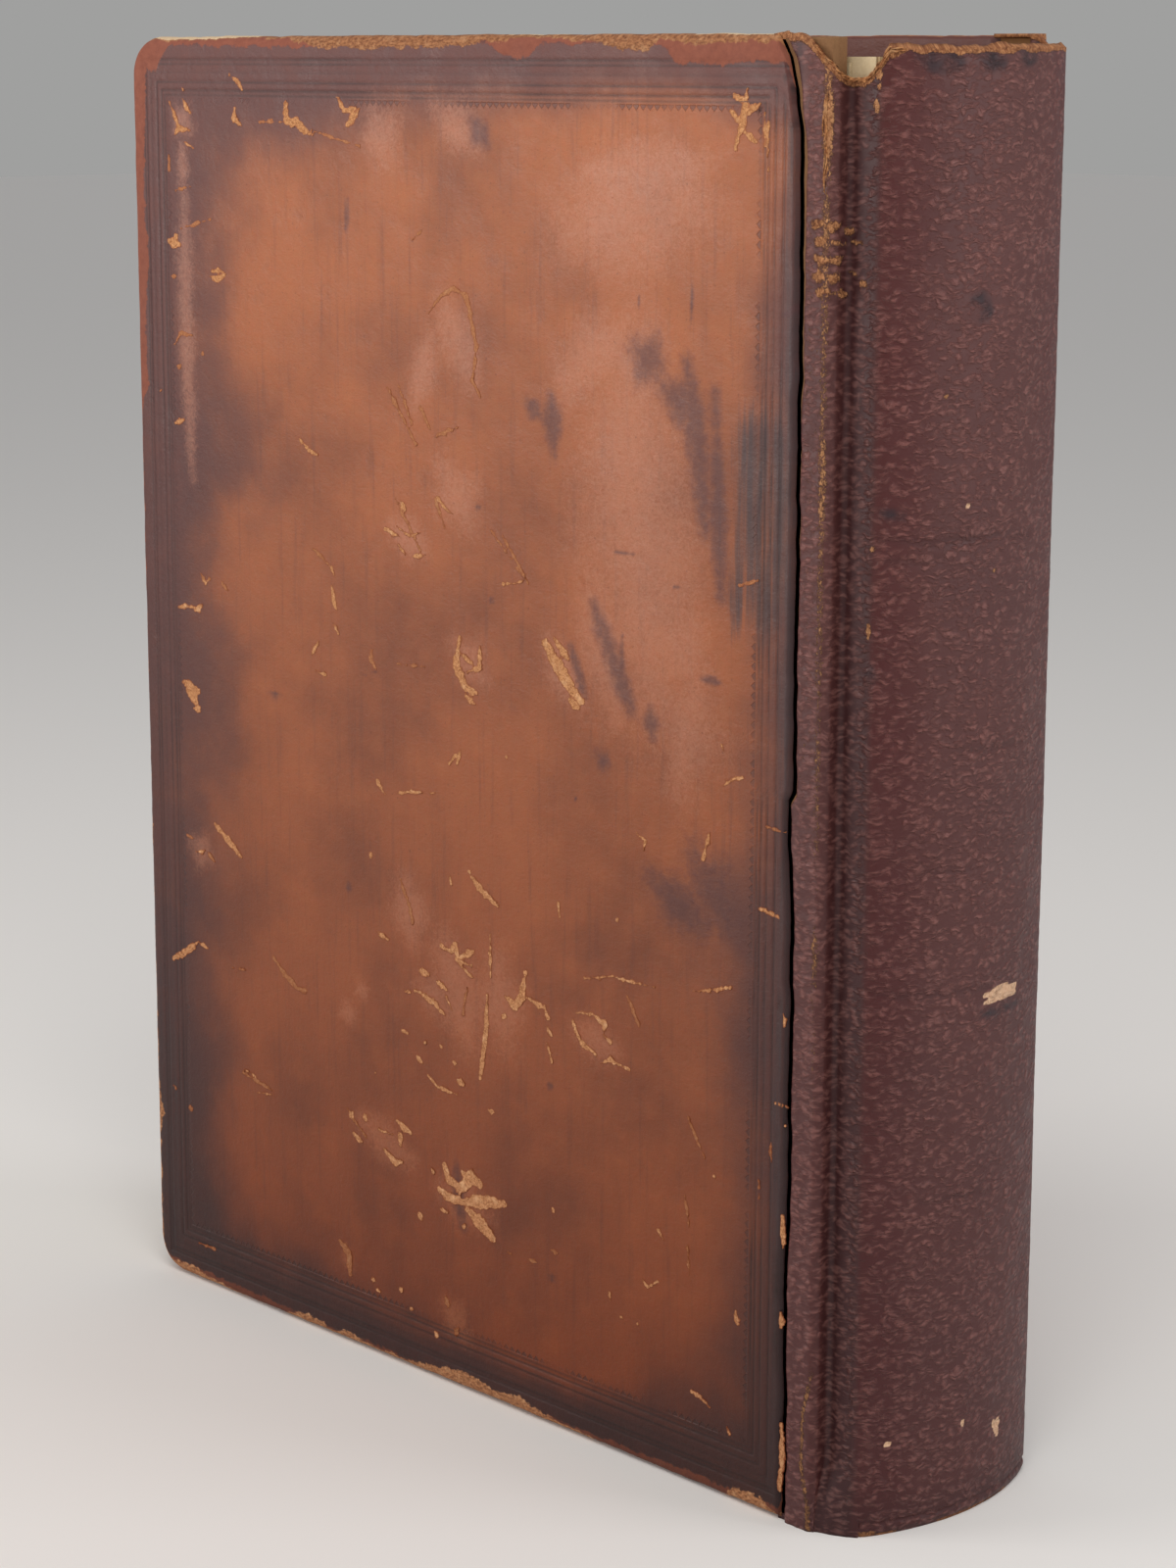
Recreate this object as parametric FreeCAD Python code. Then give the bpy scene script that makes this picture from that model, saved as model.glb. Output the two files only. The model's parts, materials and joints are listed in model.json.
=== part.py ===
"""An antique quarto book in leather, rebacked, standing on its tail.

Two hinged boards close around a rounded text block. The old tan calf covers the
boards, and a newer dark leather covers the spine, runs through both grooves and
laps under the calf at the boards' joint edge. Millimetres. X runs from the
fore-edge to the spine, Y from the rear cover to the front cover and Z from tail
to head. The origin is under the middle of the standing book.
"""
import FreeCAD
import Part
import math
import os

vec = FreeCAD.Vector
up = vec(0, 0, 1)

# Overall size
board_height = 260.0
board_width = 191.0
book_thickness = 55.4
spine_bulge = 13.2
joint_width = 5.4

# Sheets and boards
core_thickness = 3.2
calf_thickness = 0.8
leather_thickness = 0.8
paper_thickness = 0.25
lining_thickness = 0.4

# Covers
corner_radius = 9.0
edge_radius = 2.0
turn_in_width = 15.0
pastedown_margin = 5.0
joint_strip_width = 6.5
joint_lap_width = 7.5
joint_strip_recess = 0.3
ridge_radius = 1.6

# Groove and spine
groove_depth = 4.3
shoulder_radius = 3.0
hinge_setback = 0.6
head_drop = 2.4
tail_lip_width = 3.6
tail_crease_height = 2.2
tail_crease_width = 0.9
tail_crease_depth = 0.3

# Text block
square = 4.0
back_corner_radius = 0.8
hollow_thickness = 1.3
hollow_wall = 0.4
hollow_edge_setback = 3.0
lining_edge_setback = 2.0
band_radius = 0.75
rod_sides = 8
band_edge_setback = 2.5
cord_radius = 0.8
cord_count = 5
cord_end_margin = 28.0
kerf_margin = 1.0

# Clearances
cover_gap = 0.3
hinge_gap = 0.15
glue_gap = 0.1
kerf_gap = 0.15

# Blind tooling: a frame of fillet lines, measured from each edge of the board
fillet_offsets = (0.0, 0.9, 2.4, 4.4, 5.9, 6.8)
fillet_width = 0.45
fillet_depth = 0.2
frame_from_edge = 4.6
frame_from_ridge = 8.4

# The tear in the rear joint's leather at the head, measured down from the head
tear_depth_at_hinge = 8.0
tear_depth_at_ridge = 5.3
tear_spine_width = 3.4

# Places that follow from the sizes
ridge_x = (board_width - spine_bulge) / 2
fore_x = ridge_x - board_width
crown_x = ridge_x + spine_bulge
calf_edge_x = ridge_x - joint_strip_width
lap_end_x = calf_edge_x - joint_lap_width
core_edge_x = ridge_x - leather_thickness

outer_y = -book_thickness / 2
core_outer_y = outer_y + calf_thickness
core_inner_y = core_outer_y + core_thickness
turn_in_y = core_inner_y + calf_thickness
pastedown_y = turn_in_y + paper_thickness
flyleaf_y = pastedown_y + cover_gap
block_half = -(flyleaf_y + paper_thickness)

strip_outer_y = outer_y + joint_strip_recess
rebate_y = strip_outer_y + leather_thickness
groove_half = -outer_y - groove_depth
floor_thickness = min(leather_thickness, flyleaf_y - cover_gap + groove_half)

shoulder_x = ridge_x + joint_width
hinge_x = shoulder_x - hinge_setback
hinge_y = -groove_half - hinge_gap

# The spine is one arc from shoulder to shoulder, tangent to both shoulder rounds
bulge_past_shoulder = crown_x - shoulder_x
shoulder_half = groove_half - shoulder_radius
spine_radius = (
    bulge_past_shoulder**2 + shoulder_half**2 - shoulder_radius**2
) / (2 * (bulge_past_shoulder - shoulder_radius))
centre_x = crown_x - spine_radius
shoulder_angle = math.degrees(math.atan2(shoulder_half, shoulder_x - centre_x))

leather_inner_radius = spine_radius - leather_thickness
hollow_outer_radius = leather_inner_radius - glue_gap
hollow_inner_radius = hollow_outer_radius - hollow_thickness
lining_outer_radius = hollow_inner_radius - glue_gap
lining_inner_radius = lining_outer_radius - lining_thickness
back_radius = lining_inner_radius - glue_gap

spine_top = board_height - head_drop
block_bottom = square
block_top = board_height - square
leaf_fore_x = fore_x + square
leaf_width = centre_x + math.sqrt(back_radius**2 - block_half**2) - leaf_fore_x


def box(x0, x1, y0, y1, z0, z1):
    """A box between two corners."""
    return Part.makeBox(x1 - x0, y1 - y0, z1 - z0, vec(x0, y0, z0))


def line(a, b):
    return Part.LineSegment(a, b).toShape()


def arc(a, middle, b):
    return Part.Arc(a, middle, b).toShape()


def extruded(edges, z0, z1):
    """The solid of a closed plan profile, drawn at height 0, from z0 to z1."""
    face = Part.Face(Part.Wire(edges))
    face.translate(up * z0)
    return face.extrude(up * (z1 - z0))


def loop(corners):
    """The flat face inside straight edges through the corners."""
    edges = [line(a, b) for a, b in zip(corners, corners[1:] + corners[:1])]
    return Part.Face(Part.Wire(edges))


def prism_across(points, y0, y1):
    """A prism through the book's thickness, from an outline of (x, z) points."""
    return loop([vec(x, y0, z) for x, z in points]).extrude(vec(0, y1 - y0, 0))


def on_back(radius, degrees, z=0.0):
    """A point on a cylinder about the spine's axis; 0 degrees is the crown."""
    angle = math.radians(degrees)
    return vec(centre_x + radius * math.cos(angle), radius * math.sin(angle), z)


def round_back(half, radius, corner):
    """Plan edges of a rounded back between its two flat sides at y = -half and +half."""
    reach = math.sqrt((radius - corner) ** 2 - (half - corner) ** 2)
    turn = math.degrees(math.atan2(half - corner, reach))
    edges = []
    for side in (-1, 1):
        round_centre = vec(centre_x + reach, side * (half - corner), 0)
        start = round_centre + vec(0, side * corner, 0)
        end = on_back(radius, side * turn)
        half_way = math.radians(side * (90 + turn) / 2)
        middle = round_centre + vec(math.cos(half_way), math.sin(half_way), 0) * corner
        edges.append((start, arc(start, middle, end)))
    crown = arc(on_back(radius, -turn), on_back(radius, 0), on_back(radius, turn))
    return edges[0][0], [edges[0][1], crown, edges[1][1]], edges[1][0]


def back_band(inner, outer, half_angle, z0, z1):
    """A curved plate about the spine's axis, of one thickness."""
    edges = [
        arc(on_back(outer, -half_angle), on_back(outer, 0), on_back(outer, half_angle)),
        line(on_back(outer, half_angle), on_back(inner, half_angle)),
        arc(on_back(inner, half_angle), on_back(inner, 0), on_back(inner, -half_angle)),
        line(on_back(inner, -half_angle), on_back(outer, -half_angle)),
    ]
    return extruded(edges, z0, z1)


def revolved_back(points, half_angle):
    """A section of (radius, height) points, swept about the spine's axis."""
    return swept_section(loop([vec(centre_x + r, 0, z) for r, z in points]), half_angle)


def swept_section(face, half_angle):
    """A face in the plane y = 0, swept both ways from the crown."""
    axis_point = vec(centre_x, 0, 0)
    start = face.copy()
    start.rotate(axis_point, up, -half_angle)
    return start.revolve(axis_point, up, 2 * half_angle)


def rod_on_back(radius, height, rod_radius, half_angle):
    """A rod that follows the back at one height, its round section in flat facets."""
    turns = [2 * math.pi * (n + 0.5) / rod_sides for n in range(rod_sides)]
    points = [(radius + rod_radius * math.cos(t), height + rod_radius * math.sin(t))
              for t in turns]
    return revolved_back(points, half_angle)


def side_angle(radius):
    """The angle from the crown at which a radius meets the text block's side."""
    return math.degrees(math.asin(block_half / radius))


def angle_of(length, radius):
    """The angle in degrees that a length takes up on a radius."""
    return math.degrees(length / radius)


def fore_edge_rounded(plate, radius):
    """Rounds a plate's two corners at the fore-edge, seen from the side."""
    corners = [
        e for e in plate.Edges
        if abs(e.Vertexes[0].Y - e.Vertexes[-1].Y) > 1e-6
        and all(abs(v.X - plate.BoundBox.XMin) < 1e-6 for v in e.Vertexes)
    ]
    return plate.makeFillet(radius, corners)


def softened_outside(plate, radius):
    """Rounds the edges of a plate's outer face, as leather lies over a board's edge."""
    face_y = plate.BoundBox.YMin
    rim = [e for e in plate.Edges if abs(e.BoundBox.YMax - face_y) < 1e-6]
    return plate.makeFillet(radius, rim)


def tooled_lines():
    """The shallow grooves of the tooled frame in the rear cover's outer face."""
    rings = []
    for offset in fillet_offsets:
        x0 = fore_x + frame_from_edge + offset
        x1 = ridge_x - frame_from_ridge - offset
        z0 = frame_from_edge + offset
        z1 = board_height - frame_from_edge - offset
        y0, y1 = outer_y - fillet_depth, outer_y + fillet_depth
        ring = box(x0, x1, y0, y1, z0, z1)
        inside = box(x0 + fillet_width, x1 - fillet_width, y0, y1,
                     z0 + fillet_width, z1 - fillet_width)
        rings.append(ring.cut(inside))
    return rings


def board_core():
    """The rear board, pared along its joint edge to take the newer leather."""
    plate = box(fore_x + calf_thickness, core_edge_x, core_outer_y, core_inner_y,
                calf_thickness, board_height - calf_thickness)
    plate = fore_edge_rounded(plate, corner_radius - calf_thickness)
    plate = softened_outside(plate, edge_radius - calf_thickness)
    rebate = box(lap_end_x, core_edge_x, core_outer_y, rebate_y, 0, board_height)
    return plate.cut(rebate)


def turn_in_window():
    """The part of the board's inside that no turned-in leather covers."""
    return box(fore_x + turn_in_width, core_edge_x, core_inner_y, turn_in_y,
               turn_in_width, board_height - turn_in_width)


def cover_leather(core):
    """The old calf: one sheet over the rear board, turned in along three edges."""
    plate = box(fore_x, ridge_x, outer_y, turn_in_y, 0, board_height)
    plate = softened_outside(fore_edge_rounded(plate, corner_radius), edge_radius)
    plate = plate.cut(box(calf_edge_x, ridge_x, outer_y, turn_in_y, 0, board_height))
    lap = box(lap_end_x, calf_edge_x, core_outer_y, rebate_y, 0, board_height)
    return plate.cut([core, lap, turn_in_window()] + tooled_lines())


def joint_leather(core):
    """The newer leather on the rear board: its lap, the ridge and the groove's floor."""
    strip = box(calf_edge_x, ridge_x, strip_outer_y, turn_in_y, 0, board_height)
    ridge = [
        e for e in strip.Edges
        if abs(e.BoundBox.ZLength - board_height) < 1e-6
        and abs(e.BoundBox.XMin - ridge_x) < 1e-6
        and abs(e.BoundBox.YMin - strip_outer_y) < 1e-6
    ]
    strip = strip.makeFillet(ridge_radius, ridge)
    floor = box(core_edge_x, hinge_x - hinge_gap, -groove_half,
                -groove_half + floor_thickness, 0, board_height)
    lap = box(lap_end_x, calf_edge_x, core_outer_y, rebate_y,
              calf_thickness, board_height - calf_thickness)
    sheet = strip.fuse([floor, lap]).removeSplitter()
    return sheet.cut([core, turn_in_window()])


def torn_joint_leather(sheet):
    """The rear joint's leather with its head corner torn off, down to the groove."""
    points = [(calf_edge_x, board_height),
              (ridge_x, board_height - tear_depth_at_ridge),
              (hinge_x, board_height - tear_depth_at_hinge),
              (hinge_x, board_height)]
    return sheet.cut(prism_across(points, outer_y, turn_in_y + leather_thickness))


def pastedown():
    """The endpaper on the rear board's inside, stepping down inside the turn-ins."""
    border = box(fore_x + pastedown_margin, core_edge_x, turn_in_y, pastedown_y,
                 pastedown_margin, board_height - pastedown_margin)
    x0, z0 = fore_x + turn_in_width, turn_in_width
    panel = box(x0, core_edge_x, core_inner_y, pastedown_y, z0, board_height - z0)
    pocket = box(x0 + paper_thickness, core_edge_x, core_inner_y + paper_thickness,
                 pastedown_y, z0 + paper_thickness, board_height - z0 - paper_thickness)
    return border.fuse(panel).removeSplitter().cut(pocket)


def flyleaf():
    """The rear free endpaper, lying on the text block's side."""
    reach = math.sqrt((back_radius - back_corner_radius) ** 2
                      - (block_half - back_corner_radius) ** 2)
    return box(leaf_fore_x, centre_x + reach, flyleaf_y, flyleaf_y + paper_thickness,
               block_bottom, block_top)


def cord_heights():
    """Heights of the sunk sewing cords, evenly spaced."""
    first, last = block_bottom + cord_end_margin, block_top - cord_end_margin
    step = (last - first) / (cord_count - 1)
    return [first + step * n for n in range(cord_count)]


def text_block():
    """All the leaves as one solid: round back, hollow fore-edge, kerfs for the cords."""
    start, back, end = round_back(block_half, back_radius, back_corner_radius)
    low = vec(leaf_fore_x, -block_half, 0)
    high = vec(leaf_fore_x, block_half, 0)
    hollow = on_back(back_radius, 0) - vec(leaf_width, 0, 0)
    edges = [line(low, start)] + back + [line(end, high), arc(high, hollow, low)]
    block = extruded(edges, block_bottom, block_top)
    kerf_depth = back_radius - 2 * (cord_radius + kerf_gap)
    kerf_half = cord_radius + kerf_gap
    clear = back_radius + kerf_margin
    reach = side_angle(back_radius) + angle_of(kerf_margin, back_radius)
    kerfs = [
        revolved_back([(kerf_depth, z - kerf_half), (clear, z - kerf_half),
                       (clear, z + kerf_half), (kerf_depth, z + kerf_half)], reach)
        for z in cord_heights()
    ]
    return block.cut(kerfs)


def sewing_cords():
    """The cords the sections are sewn on, each sunk in its kerf."""
    radius = back_radius - cord_radius - kerf_gap
    half_angle = side_angle(back_radius) - angle_of(cord_radius, radius)
    return Part.makeCompound([
        rod_on_back(radius, z, cord_radius, half_angle) for z in cord_heights()
    ])


def end_band(height):
    """A sewn endband's core along the back, at the head or the tail."""
    radius = back_radius - band_radius
    half_angle = shoulder_angle - angle_of(band_edge_setback, radius)
    return rod_on_back(radius, height, band_radius, half_angle)


def spine_lining():
    half_angle = shoulder_angle - angle_of(lining_edge_setback, lining_inner_radius)
    return back_band(lining_inner_radius, lining_outer_radius, half_angle,
                     block_bottom, block_top)


def spine_hollow():
    """The flattened paper tube between the lining and the spine's leather."""
    half_angle = shoulder_angle - angle_of(hollow_edge_setback, hollow_outer_radius)
    tube = back_band(hollow_inner_radius, hollow_outer_radius, half_angle,
                     block_bottom, block_top)
    slit = back_band(hollow_inner_radius + hollow_wall, hollow_outer_radius - hollow_wall,
                     half_angle - angle_of(hollow_wall, hollow_outer_radius),
                     block_bottom, block_top)
    return tube.cut(slit)


def spine_section():
    """The plan profile of the newer leather, from hinge line to hinge line."""
    x_end = hinge_x + hinge_gap
    inner_half = groove_half - leather_thickness
    start_o, back_o, end_o = round_back(groove_half, spine_radius, shoulder_radius)
    start_i, back_i, end_i = round_back(inner_half, leather_inner_radius,
                                        shoulder_radius - leather_thickness)
    outer = [vec(x_end, side * groove_half, 0) for side in (-1, 1)]
    inner = [vec(x_end, side * inner_half, 0) for side in (-1, 1)]
    edges = [line(outer[0], start_o)] + back_o + [line(end_o, outer[1])]
    edges += [line(outer[1], inner[1]), line(inner[1], end_i)] + back_i[::-1]
    return edges + [line(start_i, inner[0]), line(inner[0], outer[0])]


def spine_leather():
    """The newer leather over the spine, creased and turned in at the tail, torn at the head."""
    sheet = extruded(spine_section(), 0, spine_top)
    lip = back_band(spine_radius - tail_lip_width, spine_radius - leather_thickness / 2,
                    shoulder_angle, 0, leather_thickness)
    sheet = sheet.fuse(lip).removeSplitter()
    bottom = spine_radius - tail_crease_depth
    half = tail_crease_width
    crease = revolved_back([(bottom, tail_crease_height),
                            (bottom + 2 * tail_crease_depth, tail_crease_height - half),
                            (bottom + 2 * tail_crease_depth, tail_crease_height + half)],
                           shoulder_angle)
    x_end = hinge_x + hinge_gap
    tear = prism_across([(x_end, spine_top), (x_end, board_height - tear_depth_at_hinge),
                         (x_end + tear_spine_width, spine_top)],
                        -groove_half, -shoulder_half)
    return sheet.cut([crease, tear])


def mirrored(shape):
    """The front cover's copy of a rear cover piece."""
    return shape.mirror(vec(0, 0, 0), vec(0, 1, 0))


def main():
    core = board_core()
    calf = cover_leather(core)
    joint = joint_leather(core)
    parts = {
        "text_block": text_block(),
        "sewing_cords": sewing_cords(),
        "spine_lining": spine_lining(),
        "spine_hollow": spine_hollow(),
        "spine_leather": spine_leather(),
        "head_band": end_band(block_top + band_radius),
        "tail_band": end_band(block_bottom - band_radius),
        "rear_flyleaf": flyleaf(),
        "front_flyleaf": mirrored(flyleaf()),
        "rear_board": core,
        "rear_cover_leather": calf,
        "rear_joint_leather": torn_joint_leather(joint),
        "rear_pastedown": pastedown(),
        "front_board": mirrored(core),
        "front_cover_leather": mirrored(calf),
        "front_joint_leather": mirrored(joint),
        "front_pastedown": mirrored(pastedown()),
    }
    os.makedirs("parts", exist_ok=True)
    for name, shape in parts.items():
        shape.exportStep("parts/" + name + ".step")
        print(name, "solids", len(shape.Solids), "volume", round(shape.Volume), shape.isValid())


main()
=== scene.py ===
"""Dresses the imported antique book: old tooled calf, newer pebbled leather, leaves and papers.

Lengths are in millimetres until a mesh is made. Places on a board are given as
(along, height): along is measured from the board's joint edge towards the
fore-edge, and height from the tail.
"""
import json
import math

import bpy
import numpy as np
from mathutils import Matrix, Vector


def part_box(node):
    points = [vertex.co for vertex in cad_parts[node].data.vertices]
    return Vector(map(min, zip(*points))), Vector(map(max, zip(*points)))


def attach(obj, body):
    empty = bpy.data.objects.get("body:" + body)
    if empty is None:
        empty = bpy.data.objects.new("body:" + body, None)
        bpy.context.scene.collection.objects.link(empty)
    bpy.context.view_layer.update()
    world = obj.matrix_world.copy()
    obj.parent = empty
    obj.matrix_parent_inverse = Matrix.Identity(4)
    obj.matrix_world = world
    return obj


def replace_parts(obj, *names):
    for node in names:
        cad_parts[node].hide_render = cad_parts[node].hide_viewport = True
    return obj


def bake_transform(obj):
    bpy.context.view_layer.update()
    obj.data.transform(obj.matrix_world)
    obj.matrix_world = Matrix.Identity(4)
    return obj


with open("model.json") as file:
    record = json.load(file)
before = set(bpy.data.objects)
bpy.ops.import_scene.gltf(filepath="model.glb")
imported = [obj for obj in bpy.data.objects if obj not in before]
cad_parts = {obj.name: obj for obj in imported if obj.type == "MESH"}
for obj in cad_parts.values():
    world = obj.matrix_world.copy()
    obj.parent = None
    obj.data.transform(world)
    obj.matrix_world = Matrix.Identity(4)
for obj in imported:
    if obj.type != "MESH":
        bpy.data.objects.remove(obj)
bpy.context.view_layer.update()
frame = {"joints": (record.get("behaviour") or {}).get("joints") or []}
MM = 0.001


def corners(node):
    """The low and the high corner of a node's box, in millimetres."""
    low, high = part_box(node)
    return np.array(low) / MM, np.array(high) / MM


# Sizes that the frame gives
calf_low, calf_high = corners("rear_cover_leather")
joint_low, joint_high = corners("rear_joint_leather")
spine_low, spine_high = corners("spine_leather")
_, board_high = corners("rear_board")
rear_joint = next(j for j in frame["joints"] if j["name"] == "rear_hinge")
hinge_x, hinge_y = [v / MM for v in rear_joint["pos_m"][:2]]

LEATHER = 0.8
height = calf_high[2]
fore_x = calf_low[0]
ridge_x = board_high[0] + LEATHER
crown_x = spine_high[0]
outer_y = -calf_low[1]
strip_y = -joint_low[1]
joint_inner_y = -joint_high[1]
turn_in_y = -calf_high[1]
core_inner_y = -board_high[1]
floor_y = -spine_low[1]
spine_top = spine_high[2]
width = ridge_x - fore_x

# Forms of the leather
CORNER_RADIUS = 9.0
EDGE_ROLL = 2.0
GROOVE_FILLET = 1.0
RIDGE_RADIUS = 1.6
SHOULDER_RADIUS = 3.0
# The finished face lies this far under the solid's face, and peaks this far over it at most
FACE_SINK = 0.12
FACE_LIMIT = 0.25
# The spine's section: an arc that runs into both grooves over small shoulders
shoulder_x = hinge_x + 0.6
spine_radius = (
    (crown_x - shoulder_x) ** 2 + (floor_y - SHOULDER_RADIUS) ** 2 - SHOULDER_RADIUS**2
) / (2 * (crown_x - shoulder_x - SHOULDER_RADIUS))
spine_x = crown_x - spine_radius
shoulder_turn = math.atan2(floor_y - SHOULDER_RADIUS, shoulder_x - spine_x)

# Tooling: distances from the board's outline, and from the joint edge
FRAME_INSET = 4.6
JOINT_INSET = 8.4
FILLETS = (0.0, 0.9, 2.4, 4.4, 5.9, 6.8)
FILLET_HALF = 0.3
FILLET_DEPTH = 0.22
TEETH = (7.6, 8.5)
TOOTH_PITCH = 1.7


# Noise

def lattice(ix, iy, seed):
    """A repeatable random value from -1 to 1 at each whole-number point."""
    n = (ix * 374761393 + iy * 668265263 + seed * 974711 + 12345) & 0x7FFFFFFF
    n = ((n ^ (n >> 13)) * 1274126177) & 0x7FFFFFFF
    return ((n ^ (n >> 16)) & 0xFFFF) / 32767.5 - 1.0


def noise(x, y, size, seed=0):
    """Smooth noise from -1 to 1 with features of one size."""
    x, y = np.broadcast_arrays(np.asarray(x, float) / size, np.asarray(y, float) / size)
    ix, iy = np.floor(x).astype(np.int64), np.floor(y).astype(np.int64)
    fx, fy = x - ix, y - iy
    fx, fy = fx * fx * (3 - 2 * fx), fy * fy * (3 - 2 * fy)
    low = lattice(ix, iy, seed) * (1 - fx) + lattice(ix + 1, iy, seed) * fx
    high = lattice(ix, iy + 1, seed) * (1 - fx) + lattice(ix + 1, iy + 1, seed) * fx
    return low * (1 - fy) + high * fy


def layered(x, y, size, seed=0, layers=3):
    """Noise with finer and weaker layers on top."""
    total = sum(noise(x, y, size / 2**n, seed + 17 * n) / 2**n for n in range(layers))
    return total / (2 - 0.5 ** (layers - 1))


def smooth(value, low, high):
    """0 below low, 1 above high, and an even slope between; low may be above high."""
    t = np.clip((np.asarray(value, float) - low) / (high - low), 0, 1)
    return t * t * (3 - 2 * t)


def through(value, *pairs):
    """A value read from a few (place, amount) pairs, joined by straight runs."""
    places, amounts = zip(*sorted(pairs))
    return np.interp(value, places, amounts)


# Meshes

def quads(rows, cols, wrap=False):
    """The faces of a grid of points that is stored row by row."""
    r, c = np.meshgrid(np.arange(rows - 1), np.arange(cols if wrap else cols - 1), indexing="ij")
    a, b = r * cols + c, r * cols + (c + 1) % cols
    return np.stack([a, b, b + cols, a + cols], -1).reshape(-1, 4)


def outline(rows, cols):
    """The numbers of a grid's border points, once round."""
    index = np.arange(rows * cols).reshape(rows, cols)
    return np.concatenate([index[0, :-1], index[:-1, -1], index[-1, :0:-1], index[:0:-1, 0]])


def shell(outer, inner):
    """The points and faces of a closed skin between two grids of points."""
    rows, cols = outer.shape[:2]
    total = rows * cols
    grid = quads(rows, cols)
    rim = outline(rows, cols)
    following = np.roll(rim, -1)
    walls = np.stack([following, rim, rim + total, following + total], -1)
    points = np.concatenate([outer.reshape(-1, 3), inner.reshape(-1, 3)])
    return points, np.concatenate([grid, grid[:, ::-1] + total, walls])


def twice(values):
    """Values at a skin's outer points, and the same again for its inner points."""
    return np.tile(np.ravel(values), 2)


def skin_map(across, up):
    """Flat coordinates of the skin, for its textures."""
    return np.stack([across, up, np.zeros_like(up)], -1).reshape(-1, 3)


def piece(name, points, faces, material, slot, **fields):
    """A smooth mesh piece, with its fields stored as values at the points."""
    mesh = bpy.data.meshes.new(name)
    mesh.from_pydata((np.asarray(points) * MM).tolist(), [], [list(map(int, f)) for f in faces])
    mesh.validate()
    mesh.polygons.foreach_set("use_smooth", np.ones(len(mesh.polygons), bool))
    for key, values in fields.items():
        values = np.asarray(values, np.float32)
        kind = "FLOAT_VECTOR" if values.ndim == 2 else "FLOAT"
        store = mesh.attributes.new(key, kind, "POINT")
        store.data.foreach_set("vector" if values.ndim == 2 else "value", values.ravel())
    mesh.materials.append(material)
    made = bpy.data.objects.new(name, mesh)
    bpy.context.scene.collection.objects.link(made)
    return made


def outward(faces, side):
    """Faces whose winding suits the rear side (-1), turned over for the front (+1)."""
    return [f[::-1] for f in faces] if side > 0 else list(faces)


# Materials

def srgb(r, g, b):
    """A colour written as the eye's 0 to 255 values."""
    def linear(v):
        v /= 255
        return v / 12.92 if v <= 0.04045 else ((v + 0.055) / 1.055) ** 2.4
    return linear(r), linear(g), linear(b), 1.0


class Finish:
    """A node material under construction. Inputs take numbers, colours or other outputs."""

    def __init__(self, name, roughness=0.6, specular=0.35):
        self.material = bpy.data.materials.new(name)
        self.material.use_nodes = True
        self.tree = self.material.node_tree
        self.shader = self.tree.nodes["Principled BSDF"]
        self.shader.inputs["Roughness"].default_value = roughness
        self.shader.inputs["Specular IOR Level"].default_value = specular

    def plug(self, socket, value):
        if isinstance(value, bpy.types.NodeSocket):
            self.tree.links.new(value, socket)
        else:
            socket.default_value = value

    def node(self, kind, inputs, out=0, **settings):
        made = self.tree.nodes.new("ShaderNode" + kind)
        for key, value in settings.items():
            setattr(made, key, value)
        for key, value in inputs.items():
            self.plug(made.inputs[key], value)
        return made.outputs[out]

    def field(self, name):
        return self.node("Attribute", {}, 2, attribute_name=name)

    def flat(self):
        return self.node("Attribute", {}, 1, attribute_name="flat")

    def place(self):
        """Object coordinates in millimetres."""
        return self.stretch(self.node("TexCoord", {}, 3), (1000, 1000, 1000))

    def stretch(self, vector, by):
        return self.node("VectorMath", {0: vector, 1: by}, operation="MULTIPLY")

    def part(self, vector, axis):
        return self.node("SeparateXYZ", {0: vector}, "XYZ".index(axis))

    def noise(self, vector, size, detail=3.0, roughness=0.55, distortion=0.0):
        return self.node("TexNoise", {"Vector": vector, "Scale": 1 / size, "Detail": detail,
                                      "Roughness": roughness, "Distortion": distortion})

    def cells(self, vector, size, feature="F1", smoothness=None):
        inputs = {"Vector": vector, "Scale": 1 / size}
        if smoothness is not None:
            inputs["Smoothness"] = smoothness
        return self.node("TexVoronoi", inputs, feature=feature)

    def math(self, operation, a, b=0.0, c=0.0):
        return self.node("Math", {0: a, 1: b, 2: c}, operation=operation)

    def plus(self, a, b):
        return self.math("ADD", a, b)

    def times(self, a, b):
        return self.math("MULTIPLY", a, b)

    def ramp(self, value, low, high, to_low=0.0, to_high=1.0):
        return self.node("MapRange", {0: value, 1: low, 2: high, 3: to_low, 4: to_high},
                         interpolation_type="SMOOTHSTEP")

    def mix(self, share, a, b, blend="MIX"):
        return self.node("Mix", {0: share, 6: a, 7: b}, 2, data_type="RGBA", blend_type=blend)

    def head_lit_tones(self, tail, head):
        """A colour that runs from one tone at the tail to another at the head; the head's tone is always
        the lighter one, as painted light falling from above.
        """
        return self.mix(self.field("rise"), srgb(*tail), srgb(*head))

    def sway(self, noise, strength):
        """Noise moved to lie about zero, times a strength."""
        return self.times(self.plus(noise, -0.5), strength)

    def bump(self, height, distance):
        return self.node("Bump", {"Strength": 1.0, "Distance": distance * MM, "Height": height})

    def done(self, colour, roughness=None, normal=None):
        self.plug(self.shader.inputs["Base Color"], colour)
        if roughness is not None:
            self.plug(self.shader.inputs["Roughness"], roughness)
        if normal is not None:
            self.plug(self.shader.inputs["Normal"], normal)
        return self.material


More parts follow.
